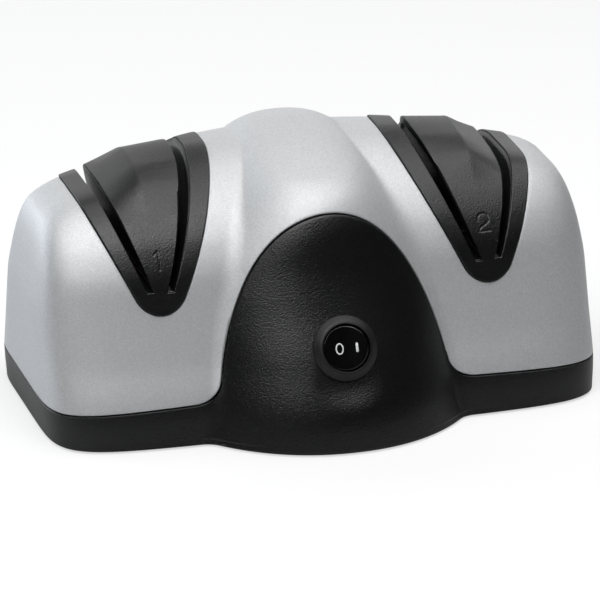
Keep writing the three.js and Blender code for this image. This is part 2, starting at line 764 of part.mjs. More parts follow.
for (const [side, word, look] of [[-1, 'coarse', coarseGrit], [1, 'fine', fineGrit]]) {
  const along = (steps) => (side > 0
    ? steps
    : steps.map(([radius, from, to]) => [radius, -to, -from]).reverse());
  const inner = stageX - wheelThickness / 2;
  const outer = stageX + wheelThickness / 2;
  addPiece(`wheel_hub_${word}`, sleeve(along([
    [hubFlangeRadius, inner - hubFlangeThickness - pressGap, inner - pressGap],
    [hubRadius, inner - pressGap, outer - partGap],
  ]), shaftRadius + pressGap), steel, spinning);
  addPiece(`grinding_wheel_${word}`, sleeve(
    along([[wheelRadius, inner, outer]]), hubRadius + pressGap, roundSegments * 2,
  ), look, spinning);
  const nutFace = outer + pressGap;
  const flange = solid(sleeve(along([[nutFlangeRadius, nutFace, nutFace + nutFlangeThickness]]),
    shaftRadius + pressGap));
  const hexRadius = nutAcross / Math.sqrt(3);
  const hex = bar('x', hexRadius, nutFace, nutFace + nutHeight, [shaftY, shaftHeight], 6)
    .subtract(bar('x', shaftRadius + pressGap, 0, bodyWidth, [shaftY, shaftHeight]));
  const turnedHex = side > 0 ? hex : hex.mirror([1, 0, 0]);
  addPiece(`wheel_nut_${word}`, flange.add(turnedHex), steel, spinning);
}

// Housing screws come up through the floor tubes into the columns of the upper housing.
for (const [side, sideWord] of [[-1, 'left'], [1, 'right']]) {
  for (const [post, endWord] of [[frontPost, 'front'], [backPost, 'rear']]) {
    const piece = addPiece(
      `housing_screw_${endWord}_${sideWord}`,
      screw(screwRadius - threadGap, seatHeight * 1.5, screwHeadRadius, screwHeadHeight),
      steel,
    );
    piece.rotation.x = Math.PI;
    piece.position.set(side * post.x, post.y, seatHeight / 2 - partGap);
  }
  for (const [y, endWord] of [[footFrontY, 'front'], [footBackY, 'rear']]) {
    const top = rimLift + floorThickness / 2 - partGap;
    const foot = turned([
      [0, 0], [footRadius - rimLift, 0], [footRadius, rimLift], [footRadius, top], [0, top],
    ]);
    addPiece(`foot_${endWord}_${sideWord}`, foot, rubber).position.set(side * footX, y, 0);
  }
}

// Cord gland in the rear wall: a lip outside, a locking ring inside and the hole for the cord.
function cordGland() {
  const at = [0, glandHeight];
  const inner = glandSeatY - wall - partGap;
  const outer = glandSeatY + partGap;
  const neck = bar('y', glandRadius, inner - glandLock, outer + glandLip, at);
  const lip = bar('y', glandFlangeRadius, outer, outer + glandLip, at);
  const lock = bar('y', glandFlangeRadius, inner - glandLock, inner, at);
  const bore = bar('y', glandBoreRadius, 0, farBack, at);
  return neck.add(lip).add(lock).subtract(bore);
}
addPiece('cord_gland', cordGland(), rubber);

// Switch: local Z looks out of the front panel and local Y runs up along it.
const switchGroup = new THREE.Group();
switchGroup.applyMatrix4(switchFrame);
root.add(switchGroup);

function switchBody() {
  const seatBack = partGap;
  let body = solid(turned([
    [0, -barrelDepth], [barrelRadius, -barrelDepth], [barrelRadius, seatBack],
    [bezelRadius, seatBack], [bezelRadius, bezelRise * 0.45],
    [bezelTopRadius + bezelRound, bezelRise - bezelRound / 2], [bezelTopRadius, bezelRise], [0, bezelRise],
  ]));
  const pocketDepth = rockerRadius + rockerAxisDepth;
  const pocket = new THREE.CylinderGeometry(bezelBoreRadius, bezelBoreRadius, pocketDepth * 2, roundSegments);
  pocket.rotateX(Math.PI / 2).translate(0, 0, bezelRise);
  body = body.subtract(solid(pocket));
  for (const side of [-1, 0, 1]) {
    const x = side * terminalSpread;
    body = body.add(box(
      [x - terminalThickness / 2, -terminalWidth / 2, -barrelDepth - terminalLength],
      [x + terminalThickness / 2, terminalWidth / 2, -barrelDepth + terminalThickness],
    ));
  }
  return body;
}
addPiece('switch_body', switchBody(), glossBlack, switchGroup);

// The rocker rests with its left half pressed in: a round cap, dished to a shallow V, over a narrow hub.
const rockerGroup = new THREE.Group();
rockerGroup.position.z = bezelRise - rockerAxisDepth;
rockerGroup.rotation.y = -rockerTilt;
switchGroup.add(rockerGroup);

function rocker() {
  const rise = rockerRadius * Math.tan(rockerTilt);
  const shape = new THREE.Shape();
  shape.moveTo(-rockerRadius * 2, rise * 2 + rockerTop);
  shape.lineTo(0, rockerTop);
  shape.lineTo(rockerRadius * 2, rise * 2 + rockerTop);
  shape.lineTo(rockerRadius * 2, -rockerSkirt + rise * 2);
  shape.lineTo(0, -rockerSkirt);
  shape.lineTo(-rockerRadius * 2, -rockerSkirt + rise * 2);
  const profile = new THREE.ExtrudeGeometry(shape, { depth: rockerRadius * 4, bevelEnabled: false });
  profile.rotateX(Math.PI / 2);
  profile.translate(0, rockerRadius * 2, 0);
  const round = bar('z', rockerRadius, -rockerRadius, rockerRadius, [0, 0], roundSegments * 2);
  return solid(profile).intersect(round);
}
addPiece('switch_rocker', rocker(), glossBlack, rockerGroup);

addPiece('upper_housing', upperHousing(), silverPaint);
addPiece('lower_housing', lowerHousing(), blackPlastic);
addPiece('guide_insert_coarse', guideInsert(-1), blackPlastic);
addPiece('guide_insert_fine', guideInsert(1), blackPlastic);

export default root;
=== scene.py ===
import json
import math
from types import SimpleNamespace as Sizes

import bmesh
import bpy
import numpy as np
from mathutils import Matrix, Vector
from mathutils.geometry import delaunay_2d_cdt


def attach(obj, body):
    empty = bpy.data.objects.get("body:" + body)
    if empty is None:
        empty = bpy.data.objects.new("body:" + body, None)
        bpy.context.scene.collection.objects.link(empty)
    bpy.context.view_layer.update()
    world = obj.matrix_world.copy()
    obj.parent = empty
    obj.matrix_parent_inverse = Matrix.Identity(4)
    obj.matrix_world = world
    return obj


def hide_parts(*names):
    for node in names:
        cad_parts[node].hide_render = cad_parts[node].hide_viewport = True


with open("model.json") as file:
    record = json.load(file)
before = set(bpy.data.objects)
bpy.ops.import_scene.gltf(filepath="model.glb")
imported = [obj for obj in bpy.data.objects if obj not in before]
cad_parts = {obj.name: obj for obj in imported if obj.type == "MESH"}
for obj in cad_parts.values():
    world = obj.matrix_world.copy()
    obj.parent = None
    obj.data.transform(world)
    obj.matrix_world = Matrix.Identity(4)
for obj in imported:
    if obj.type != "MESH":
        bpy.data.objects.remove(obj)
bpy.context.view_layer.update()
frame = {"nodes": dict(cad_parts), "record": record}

# Lengths are in millimetres until a mesh is made. x to the right, y to the back, z up.
body = Sizes(
    crestY=24.9,                     # the crest line runs left to right above this depth
    wing=Sizes(
        half=111.0, front=74.5, back=47.5, height=97.2, bow=0.032,
        frontPower=(8.6, 6.6), backPower=(3.6, 1.38), powerFrom=0.15,
        levels=(                     # depth share, height share, half width share
            (1, 0, 0.991), (0.96, 0.146, 1), (0.867, 0.32, 1), (0.785, 0.5, 0.999), (0.73, 0.63, 0.987),
            (0.652, 0.735, 0.97), (0.55, 0.822, 0.942), (0.44, 0.888, 0.866), (0.34, 0.935, 0.64),
            (0.24, 0.97, 0.52), (0.12, 0.9945, 0.45), (0, 1, 0),
        ),
    ),
    dome=Sizes(
        half=74.8, front=97.8, back=48.0, height=104.4, bow=0.0,
        frontPower=(2.1, 2.1), backPower=(2.2, 2.2), powerFrom=0.15,
        levels=(
            (1, 0, 1), (0.975, 0.106, 0.944), (0.877, 0.295, 0.876), (0.757, 0.485, 0.836), (0.69, 0.61, 0.76),
            (0.635, 0.744, 0.583), (0.576, 0.83, 0.455), (0.492, 0.889, 0.372), (0.395, 0.923, 0.325),
            (0.265, 0.96, 0.25), (0.12, 0.988, 0.157), (0.03, 0.9975, 0.07), (0, 1, 0),
        ),
    ),
    backFullness=0.69,               # the back curves out faster below the crest than the front
    # The wings' crest rises towards the dome: places from the middle, the rise there, and where it fades out.
    crestPlaces=(0, 30, 45, 62, 80, 96, 111),
    crestRises=(1.7, 1.6, 1.2, 0.1, -0.8, -1.4, -1.5),
    crestFrom=50.0,
    # The crease between dome and wings is soft in the middle, and sharp beyond two ramps of height:
    # near the crest, and low on the back.
    creaseSoft=3.0, creaseSharp=0.4, creaseHigh=(78.0, 94.0), creaseLow=(55.0, 25.0),
    faceReach=120.0,                 # farther from the crest plane than any face
    wall=2.3,
    rimHeight=0.8,
    partingGap=0.5,
    partingEnd=13.8,                 # parting height at the ends and beside the arch
    partingInner=15.6,
    partingInnerX=57.5,
    partingRounds=4,                 # its height and its place settle each other in these rounds
    archHalf=47.0,
    archHeight=83.8,
    archCorner=0.29,
    archSamples=60,
    stageX=65.5,
    tipHeight=49.3,
    tipRadius=10.6,
    slant=math.radians(25.6),
    insertFit=0.35,
)
wing, dome, crestY, stageX = body.wing, body.dome, body.crestY, body.stageX
slantTan = math.tan(body.slant)
tipCentre = body.tipHeight + body.tipRadius


def easeThrough(knots, values, at):
    # A monotone cubic through the knots: each knot's slope is the harmonic mean of the slopes beside it.
    knots, values, at = np.asarray(knots, float), np.asarray(values, float), np.asarray(at, float)
    step = np.diff(knots)
    rise = np.diff(values) / step
    slope = np.zeros(len(knots))
    product = rise[:-1] * rise[1:]
    total = rise[:-1] + rise[1:]
    slope[1:-1] = np.where(product > 0, 2 * product / np.where(total == 0, 1, total), 0)
    slope[0], slope[-1] = rise[0], rise[-1]
    cell = np.clip(np.searchsorted(knots, at, side="right") - 1, 0, len(step) - 1)
    t = np.clip((at - knots[cell]) / step[cell], 0, 1)
    m0, m1 = slope[cell] * step[cell], slope[cell + 1] * step[cell]
    return (values[cell] * (1 + 2 * t) * (1 - t) ** 2 + m0 * t * (1 - t) ** 2
            + values[cell + 1] * t * t * (3 - 2 * t) + m1 * t * t * (t - 1))


def rampOver(values, start, end):
    # 0 up to the start, 1 from the end on, and even between them.
    return np.clip((values - start) / (end - start), 0, 1)


def smooth(share):
    # A soft step from 0 to 1, level at both ends.
    return share ** 2 * (3 - 2 * share)


def prepareForm(form):
    # Squared shares are even near the crest, where the shares themselves fall like a root.
    share = np.linspace(0, 1, 4001)
    depth, height, half = np.array(form.levels, float).T
    form.share = share
    form.depthSquare = np.maximum(easeThrough(height, depth ** 2, share), 0)
    form.halfSquare = np.maximum(easeThrough(height, half ** 2, share), 0)


def sliceRadius(form, across, along, z, grow=0.0):
    # Plan radius of the outline at height z in the direction (across, along): a rounded box
    # (|x / half|^n + |y / depth|^n = 1) whose front depth bows back towards the ends.
    share = np.clip(z / (form.height + grow), 0, 1)
    half = (form.half + grow) * np.sqrt(np.interp(share, form.share, form.halfSquare)) + 1e-6
    depthShare = np.sqrt(np.interp(share, form.share, form.depthSquare)) + 1e-9
    front = along < 0
    depth = np.where(front, (form.front + grow) * depthShare,
                     (form.back + grow) * depthShare ** body.backFullness) + 1e-6
    low = np.where(front, form.frontPower[0], form.backPower[0])
    high = np.where(front, form.frontPower[1], form.backPower[1])
    power = low + (high - low) * rampOver(share, form.powerFrom, 1)
    u = np.abs(across) / half
    v = np.abs(along) / depth
    radius = (u ** power + v ** power) ** (-1 / power)
    if form.bow:
        for _ in range(3):
            bow = np.where(front, 1 - form.bow * np.minimum(radius * u, 1) ** 2, 1)
            radius = (u ** power + (v / bow) ** power) ** (-1 / power)
    return radius


def formDistance(form, points, grow=0.0):
    # Distance outside the form: the plan distance to the outline, shortened by the outline's slope over
    # height. Above the crest it goes on evenly with the height.
    x, y, z = points[..., 0], points[..., 1] - crestY, points[..., 2]
    reach = np.hypot(x, y) + 1e-9
    across, along = x / reach, y / reach
    step, crestRoom = 0.1, 0.15
    level = np.minimum(z, form.height + grow - crestRoom)
    below, here, above = (sliceRadius(form, across, along, level + shift, grow) for shift in (-step, 0, step))
    slope = (above - below) / (2 * step)
    return (reach - here - (z - level) * slope) / np.sqrt(1 + slope ** 2)


def blendLower(a, b, width):
    # The smaller of two distances, with a round of the given width where they are equal.
    share = np.clip(0.5 + 0.5 * (b - a) / width, 0, 1)
    return b + (a - b) * share - width * share * (1 - share)


def bodyDistance(points, grow=0.0):
    # Wings and dome together. The wings' crest is tilted by looking for it lower by its rise.
    z = points[..., 2]
    sharp = rampOver(z, *body.creaseHigh)
    sharp = np.maximum(sharp, rampOver(z, *body.creaseLow) * (points[..., 1] > crestY))
    width = body.creaseSoft + (body.creaseSharp - body.creaseSoft) * sharp
    rise = easeThrough(body.crestPlaces, body.crestRises, np.abs(points[..., 0]))
    rise = rise * smooth(rampOver(z, body.crestFrom, wing.height))
    tilted = points - np.array([0, 0, 1]) * rise[..., None]
    return blendLower(formDistance(wing, tilted, grow), formDistance(dome, points, grow), width)


def lastInside(inside, shape, near, far, rounds=20):
    # The reach at which a ray gets out, found by halving the interval from near to far.
    low, high = np.full(shape, float(near)), np.full(shape, float(far))
    for _ in range(rounds):
        middle = (low + high) / 2
        within = inside(middle)
        low, high = np.where(within, middle, low), np.where(within, high, middle)
    return (low + high) / 2


def surfaceAlong(origin, direction, near, far, distance=bodyDistance):
    # The point where each ray leaves the body, with near and far as shares of its direction.
    reach = lastInside(lambda middle: distance(origin + direction * middle[..., None]) < 0,
                       direction.shape[:-1], near, far)
    return origin + direction * reach[..., None]


def crestPlane(x, z):
    # Points of the upright plane through the crest line.
    x, z = np.broadcast_arrays(np.asarray(x, float), np.asarray(z, float))
    return np.stack([x, np.full(x.shape, crestY), z], -1)


def onFace(x, z, side, distance=bodyDistance):
    # The body's surface straight in front of (side -1) or behind (side 1) a point of the crest plane.
    origin = crestPlane(x, z)
    direction = np.zeros(origin.shape)
    direction[..., 1] = side
    return surfaceAlong(origin, direction, 0, body.faceReach, distance)


def partingHeight(x):
    # The parting falls evenly from the arch's foot to the ends.
    inner, foot = body.partingInner, body.partingInnerX
    fall = (inner - body.partingEnd) / (wing.half - foot)
    return inner - fall * np.maximum(np.abs(x) - foot, 0)


def archOutline(grow):
    # Front view of the right half, from the foot to the top: a rounded corner, then a quarter ellipse.
    half, height = body.archHalf + grow, body.archHeight + grow
    start = math.asin(body.archCorner)
    foot = np.array([body.partingInnerX, body.partingInner + grow])
    bend = np.array([half, body.partingInner + grow])
    top = np.array([half * math.cos(start), height * body.archCorner])
    t = np.linspace(0, 1, body.archSamples)[:, None]
    corner = foot * (1 - t) ** 2 + bend * 2 * t * (1 - t) + top * t ** 2
    turn = np.linspace(start, math.pi / 2, body.archSamples * 3)[1:, None]
    ellipse = np.concatenate([half * np.cos(turn), height * np.sin(turn)], 1)
    return np.concatenate([corner, ellipse])


def halfOpening(z, grow=0.0):
    # Half width of an insert's outline at a height: a round tip below, then two straight slanted sides.
    radius = body.tipRadius + grow
    straight = radius / math.cos(body.slant) + (z - tipCentre) * slantTan
    tip = np.sqrt(np.maximum(radius ** 2 - (z - tipCentre) ** 2, 0))
    return np.where(z < tipCentre - radius * math.sin(body.slant), tip, straight)


def crestAt(lean, grow):
    # Height at which one slanted side of an insert's outline meets the crest.
    room, count = 3, 1500
    z = np.linspace(tipCentre, wing.height + room, count)
    x = stageX + lean * halfOpening(z, grow)
    return float(np.interp(0, bodyDistance(crestPlane(x, z)), z))


def gridFaces(rows, columns, closed=False, keep=None):
    # Quads of a grid, row by row; closed joins the last column to the first, keep is a mask of cells.
    r, c = np.meshgrid(np.arange(rows - 1), np.arange(columns if closed else columns - 1), indexing="ij")
    n = (c + 1) % columns
    quads = np.stack([r * columns + c, r * columns + n, (r + 1) * columns + n, (r + 1) * columns + c], -1)
    return quads[keep] if keep is not None else quads.reshape(-1, 4)


def joined(*parts):
    # Several (points, faces) as one, each with its own stretch of vertex numbers.
    starts = np.cumsum([0] + [len(points) for points, _ in parts])
    return (np.concatenate([points for points, _ in parts]),
            np.concatenate([faces + start for (_, faces), start in zip(parts, starts)]))


def mirrored(points, faces):
    # The same surface on the other side of the middle plane, still facing outwards.
    return points * np.array([-1, 1, 1]), faces[:, ::-1]


def inScene(name, data):
    holder = bpy.data.objects.new(name, data)
    bpy.context.scene.collection.objects.link(holder)
    return holder


def meshPiece(name, node, slot, points, faces, centre=None, bodyName="housing", look=None):
    # Vertices in millimetres become a mesh in metres that stands for a CAD node. Doubles are merged, and
    # the faces are turned to look away from the centre where there is one. A print has no node or slot of
    # its own, and its faces are turned outwards piece by piece.
    gap = 0.002
    if centre is not None:
        corners = points[faces]
        normals = np.cross(corners[:, 2] - corners[:, 0], corners[:, -1] - corners[:, 1])
        if (normals * (corners[:, 0] - centre)).sum() < 0:
            faces = faces[:, ::-1]
    mesh = bpy.data.meshes.new(name)
    mesh.from_pydata((points / 1000).tolist(), [], faces.tolist())
    work = bmesh.new()
    work.from_mesh(mesh)
    bmesh.ops.remove_doubles(work, verts=work.verts, dist=gap / 1000)
    bmesh.ops.dissolve_degenerate(work, edges=work.edges, dist=gap / 2000)
    if not node:
        bmesh.ops.recalc_face_normals(work, faces=work.faces)
    work.to_mesh(mesh)
    work.free()
    mesh.shade_smooth()
    mesh.materials.append(looks[look or slot])
    piece = inScene(name, mesh)
    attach(piece, bodyName)
    if node:
        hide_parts(node)
    print(name + ":", len(faces), "cells")
    return piece


def thicken(piece, thickness, edgeRound=0):
    # A wall inwards from the outer surface, with its edges rounded where a radius is given.
    sharpFrom = math.radians(50)
    solid = piece.modifiers.new("wall", "SOLIDIFY")
    solid.thickness = thickness / 1000
    solid.offset = -1
    if edgeRound:
        edge = piece.modifiers.new("edges", "BEVEL")
        edge.width = edgeRound / 1000
        edge.segments = 2
        edge.limit_method = "ANGLE"
        edge.angle_limit = sharpFrom
        edge.use_clamp_overlap = False
        edge.harden_normals = True


def slopeOf(points):
    # Unit normals of the surface, from the distance a little to each side.
    step = np.eye(3) * 0.05
    normal = np.stack([bodyDistance(points + axis) - bodyDistance(points - axis) for axis in step], -1)
    normal[np.abs(points[..., 0]) < 1e-6, 0] = 0
    return normal / np.linalg.norm(normal, axis=-1, keepdims=True)


def wallFaces(keep, columns, closed, inner):
    # Quads of the outer grid, of the inner grid (numbered from inner) and of the wall round each open edge.
    r, c = np.meshgrid(np.arange(keep.shape[0]), np.arange(keep.shape[1]), indexing="ij")
    n = (c + 1) % columns
    ring = (r * columns + c, r * columns + n, (r + 1) * columns + n, (r + 1) * columns + c)
    over, under = np.pad(keep, ((1, 0), (0, 0)))[:-1], np.pad(keep, ((0, 1), (0, 0)))[1:]
    if closed:
        before, after = np.roll(keep, 1, 1), np.roll(keep, -1, 1)
    else:
        before, after = np.pad(keep, ((0, 0), (1, 0)))[:, :-1], np.pad(keep, ((0, 0), (0, 1)))[:, 1:]
    quads = np.stack(ring, -1)[keep]
    faces = [quads, quads[:, ::-1] + inner]
    for k, beside in enumerate((over, after, under, before)):
        p, q = ring[k][keep & ~beside], ring[(k + 1) % 4][keep & ~beside]
        faces.append(np.stack([q, p, p + inner, q + inner], -1))
    return np.concatenate(faces)


def closedWall(points, keep, closed, radius, lastRound=None):
    # The grid of the right half as a closed wall, and its mirror image. The first and last rows turn
    # inwards on a quarter round, the last one only where a mask says so, and the inner face lies one wall
    # thickness under the outer one.
    steps, wall = 3, body.wall
    everywhere = np.ones(points.shape[1], bool)
    normals = slopeOf(points)
    lips, below = [], []
    turn = np.linspace(0, math.pi / 2, steps + 1)[:, None, None]
    for end, beside, mask in ((0, 1, everywhere), (-1, -2, everywhere if lastRound is None else lastRound)):
        edge, normal = points[end], normals[end]
        run = np.roll(edge, -1, 0) - np.roll(edge, 1, 0) if closed else np.gradient(edge, axis=0)
        run[np.abs(edge[:, 0]) < 1e-6, 1:] = 0
        away = np.cross(run, normal)
        away *= np.sign((away * (edge - points[beside])).sum(-1, keepdims=True))
        away /= np.linalg.norm(away, axis=-1, keepdims=True) + 1e-12
        lips.append(edge - (away * (1 - np.sin(turn)) + normal * (1 - np.cos(turn))) * radius * mask[:, None])
        below.append(np.broadcast_to(edge - normal * wall, lips[-1].shape))
    outer = np.concatenate([lips[0][::-1], points[1:-1], lips[1]])
    inner = np.concatenate([below[0], (points - normals * wall)[1:-1], below[1]])
    keep = np.concatenate([np.repeat(keep[:1], steps, 0), keep, np.repeat(keep[-1:], steps, 0)])
    allPoints = np.concatenate([outer.reshape(-1, 3), inner.reshape(-1, 3)])
    faces = wallFaces(keep, points.shape[1], closed, outer.shape[0] * outer.shape[1])
    onMiddle = (np.abs(allPoints[faces][..., 0]) < 1e-4).all(1)
    half = allPoints, faces[~onMiddle]
    return joined(half, mirrored(*half))


# Materials. Each pattern reads Object coordinates, in metres.
def newMaterial(name):
    material = bpy.data.materials.new(name)
    material.use_nodes = True
    tree = material.node_tree
    return material, tree, tree.nodes["Principled BSDF"], tree.nodes.new("ShaderNodeTexCoord").outputs["Object"]


def setInputs(tree, node, inputs):
    # Each input gets a value, or a link from another node's output.
    for key, value in inputs.items():
        if isinstance(value, bpy.types.NodeSocket):
            tree.links.new(value, node.inputs[key])
        else:
            node.inputs[key].default_value = value


def addNode(tree, kind, inputs=None):
    node = tree.nodes.new("ShaderNode" + kind)
    setInputs(tree, node, inputs or {})
    return node.outputs


def noiseAt(tree, place, scale, detail=2.0, roughness=0.5):
    return addNode(tree, "TexNoise", {
        "Vector": place, "Scale": scale, "Detail": detail, "Roughness": roughness,
    })["Fac"]


def spread(tree, value, low, high, fromLow=0.0, fromHigh=1.0):
    return addNode(tree, "MapRange", {
        "Value": value, "From Min": fromLow, "From Max": fromHigh, "To Min": low, "To Max": high,
    })["Result"]


def mixColours(tree, share, first, second):
    mix = tree.nodes.new("ShaderNodeMix")
    mix.data_type = "RGBA"
    setInputs(tree, mix, {"Factor": share, 6: (*first, 1), 7: (*second, 1)})
    return mix.outputs[2]


def relief(tree, shader, *heights):
    # Bumps stacked from (height output, depth in millimetres) pairs.
    last = {}
    for height, depth in heights:
        bump = addNode(tree, "Bump", {"Strength": 1.0, "Distance": depth / 1000, "Height": height, **last})
        last = {"Normal": bump["Normal"]}
    setInputs(tree, shader, last)


silverLook = Sizes(
    dark=(0.56, 0.57, 0.58), light=(0.66, 0.67, 0.68), flake=2600.0, metallic=0.7,
    roughness=(0.52, 0.64), peelScale=900.0, peelDepth=0.012, flakeDepth=0.014,
)


def silverPaint(look):
    # Metallic paint: flakes of mixed tone, gloss and height under a faint unevenness.
    material, tree, shader, place = newMaterial("silverPaint")
    flakes = addNode(tree, "TexVoronoi", {"Vector": place, "Scale": look.flake})
    grey = addNode(tree, "SeparateColor", {"Color": flakes["Color"]})
    setInputs(tree, shader, {
        "Base Color": mixColours(tree, grey["Red"], look.dark, look.light),
        "Roughness": spread(tree, grey["Green"], *look.roughness), "Metallic": look.metallic,
    })
    peel = noiseAt(tree, place, look.peelScale, 1.0)
    relief(tree, shader, (peel, look.peelDepth), (grey["Blue"], look.flakeDepth))
    return material


noiseBand = (0.3, 0.7)               # where most of a noise's values lie


def speckled(name, dark, light, roughness, noises, stretch=(1, 1, 1), others=None):
    # Tone from the first noise, gloss from the last, and a bump from each. A noise is its scale, the bump's
    # depth, its detail and its roughness.
    material, tree, shader, place = newMaterial(name)
    place = addNode(tree, "Mapping", {"Vector": place, "Scale": stretch})["Vector"]
    shares = [noiseAt(tree, place, scale, detail, rough) for scale, _, detail, rough in noises]
    setInputs(tree, shader, {
        "Base Color": mixColours(tree, shares[0], dark, light),
        "Roughness": spread(tree, shares[-1], *roughness, *noiseBand), **(others or {}),
    })
    relief(tree, shader, *((share, noise[1]) for share, noise in zip(shares, noises)))
    return material


def plastic(name, dark, light, roughness, scale, depth, coat=0.0):
    # A moulded surface with a faint unevenness.
    return speckled(name, dark, light, roughness, [(scale, depth, 3.0, 0.5)],
                    others={"Coat Weight": coat, "Coat Roughness": 0.06})


def metal(name, dark, light, roughness, stretch, scale, depth):
    # Drawn or turned metal, with its marks along the working direction.
    return speckled(name, dark, light, roughness, [(scale, depth, 4.0, 0.6)], stretch, {"Metallic": 1.0})


def grit(name, grain, binder, scale, depth):
    # Bonded abrasive: crystals of mixed tone standing out of the binder.
    material, tree, shader, place = newMaterial(name)
    crystals = addNode(tree, "TexVoronoi", {"Vector": place, "Scale": scale})["Distance"]
    share = spread(tree, crystals, 0, 1, 0.1, 0.7)
    setInputs(tree, shader, {"Base Color": mixColours(tree, share, grain, binder), "Roughness": 0.85})
    relief(tree, shader, (crystals, depth))
    return material


looks = {
    "silver_paint": silverPaint(silverLook),
    "black_plastic": speckled("texturedBlack", (0.002, 0.0024, 0.002), (0.004, 0.0046, 0.0042), (0.27, 0.36),
                              [(1600.0, 0.13, 1.0, 0.55), (3000.0, 0.05, 1.0, 0.5)],
                              others={"Specular IOR Level": 0.6}),
    "gloss_black": plastic("glossBlack", (0.0018, 0.002, 0.0018), (0.003, 0.0032, 0.003), (0.16, 0.22),
                           90.0, 0.01, coat=0.5),
    "bezel": plastic("dullBlack", (0.003, 0.0034, 0.003), (0.005, 0.0054, 0.005), (0.46, 0.54), 400.0, 0.02),
    "rubber": plastic("softRubber", (0.018, 0.018, 0.018), (0.032, 0.032, 0.032), (0.7, 0.85), 900.0, 0.04),
    "steel": metal("zincSteel", (0.42, 0.43, 0.44), (0.6, 0.61, 0.62), (0.28, 0.42), (1, 1, 1), 700.0, 0.01),
    "laminations": metal("sheetStack", (0.16, 0.17, 0.18), (0.36, 0.37, 0.39), (0.4, 0.6), (1, 0.02, 0.02),
                         1500.0, 0.06),
    "copper": metal("enamelledWire", (0.42, 0.16, 0.06), (0.66, 0.3, 0.13), (0.25, 0.4), (1, 0.03, 1), 1400.0, 0.12),
    "bronze": metal("sinteredBronze", (0.38, 0.24, 0.1), (0.55, 0.37, 0.17), (0.45, 0.6), (1, 1, 1), 2500.0, 0.02),
    "nylon": plastic("naturalNylon", (0.66, 0.62, 0.52), (0.74, 0.71, 0.62), (0.4, 0.55), 500.0, 0.03),
    "coarse_grit": grit("coarseGrit", (0.42, 0.22, 0.15), (0.12, 0.06, 0.045), 1600.0, 0.12),
    "fine_grit": grit("fineGrit", (0.66, 0.62, 0.54), (0.34, 0.31, 0.26), 3600.0, 0.05),
    "print": plastic("whitePrint", (0.72, 0.73, 0.72), (0.78, 0.79, 0.78), (0.4, 0.5), 1500.0, 0.01),
}
slotOf = {entry["node"]: entry["material_slot"] for entry in frame["record"]["subparts"]}
for name, node in frame["nodes"].items():
    node.data.materials.clear()
    node.data.materials.append(looks[slotOf[name]])
print("materials made:", len(looks))


# The silver shell is worked out in a round map of the body seen from above: the middle of the map
# is straight up, and its rim is the parting height, so every outline on the body is a plain curve.
shell = Sizes(
    centreHeight=14.7, across=111.0, front=74.5, back=47.5, up=84.0,
    outwards=44, crowding=0.1, edgeRound=0.4, samples=260,
    reach=(0.3, 1.7), lineReach=(20.0, 130.0),     # how far rays from the middle look for the surface
)
mapCentre = np.array([0.0, crestY, shell.centreHeight])


def toMap(points):
    # Angle above the rim becomes the distance from the rim towards the map's middle.
    away = np.asarray(points) - mapCentre
    depth = np.where(away[..., 1] < 0, shell.front, shell.back)
    x, y, z = away[..., 0] / shell.across, away[..., 1] / depth, away[..., 2] / shell.up
    rise = np.arctan2(z, np.hypot(x, y))
    turn = np.arctan2(y, x)
    radius = 1 - rise / (math.pi / 2)
    return np.stack([radius * np.cos(turn), radius * np.sin(turn)], -1)


def fromMap(place):
    # The body's surface in the direction that a point of the map stands for.
    radius = np.hypot(place[..., 0], place[..., 1])
    turn = np.arctan2(place[..., 1], place[..., 0])
    rise = (1 - radius) * math.pi / 2
    depth = np.where(place[..., 1] < 0, shell.front, shell.back)
    direction = np.stack([shell.across * np.cos(rise) * np.cos(turn), depth * np.cos(rise) * np.sin(turn),
                          shell.up * np.sin(rise)], -1)
    return surfaceAlong(mapCentre, direction, *shell.reach)


def evenly(points, count, knots=(), shares=()):
    # Points spaced evenly by length along a path, or by given shares of its length at given knots.
    steps = np.linalg.norm(np.diff(points, axis=0), axis=1)
    length = np.concatenate([[0], np.cumsum(steps)])
    share = np.linspace(0, 1, count)
    if knots:
        share = easeThrough(knots, shares, share)
    at = share * length[-1]
    return np.stack([np.interp(at, length, points[:, k]) for k in range(points.shape[1])], 1)


def openingSide(lean, side, grow, count):
    # One side of an insert's outline from the tip to the crest, on the front (side -1) or the back.
    radius = body.tipRadius + grow
    turn = np.linspace(0, math.pi / 2 - body.slant, count // 3)
    low = tipCentre - radius * np.cos(turn)
    x = radius * np.sin(turn)
    top = crestAt(lean, grow)
    t = np.linspace(0, 1, count)[1:]
    high = low[-1] + (top - low[-1]) * (1 - (1 - t) ** 2)
    z = np.concatenate([low, high])
    offset = np.concatenate([x, halfOpening(high, grow)])
    return onFace(stageX + lean * offset, z, side)


def planAngle(points, depth=shell.front):
    # Direction from the middle in plan, with the depth drawn out to the width's scale.
    return np.arctan2((points[..., 1] - crestY) / depth, points[..., 0] / shell.across)


def partingPath(fromX, toX, side, grow, count):
    # The parting line on one face, as points on the body.
    x = np.linspace(fromX, toX, count)
    return onFace(x, partingHeight(x) + grow, side)


def partingAround(fromX, grow, count):
    # The parting line from the front at fromX round the end to the back at fromX, by plan angle.
    front, back = (onFace(fromX, partingHeight(fromX) + grow, side) for side in (-1, 1))
    first, last = planAngle(front), planAngle(back, shell.back)
    turn = np.linspace(first, last, count)
    depth = np.where(turn < 0, shell.front, shell.back)
    z = np.full(count, body.partingEnd + grow)
    direction = np.stack([shell.across * np.cos(turn), depth * np.sin(turn), np.zeros(count)], -1)
    for _ in range(body.partingRounds):
        points = surfaceAlong(crestPlane(0, z), direction, *shell.reach)
        z = partingHeight(points[:, 0]) + grow
    return points


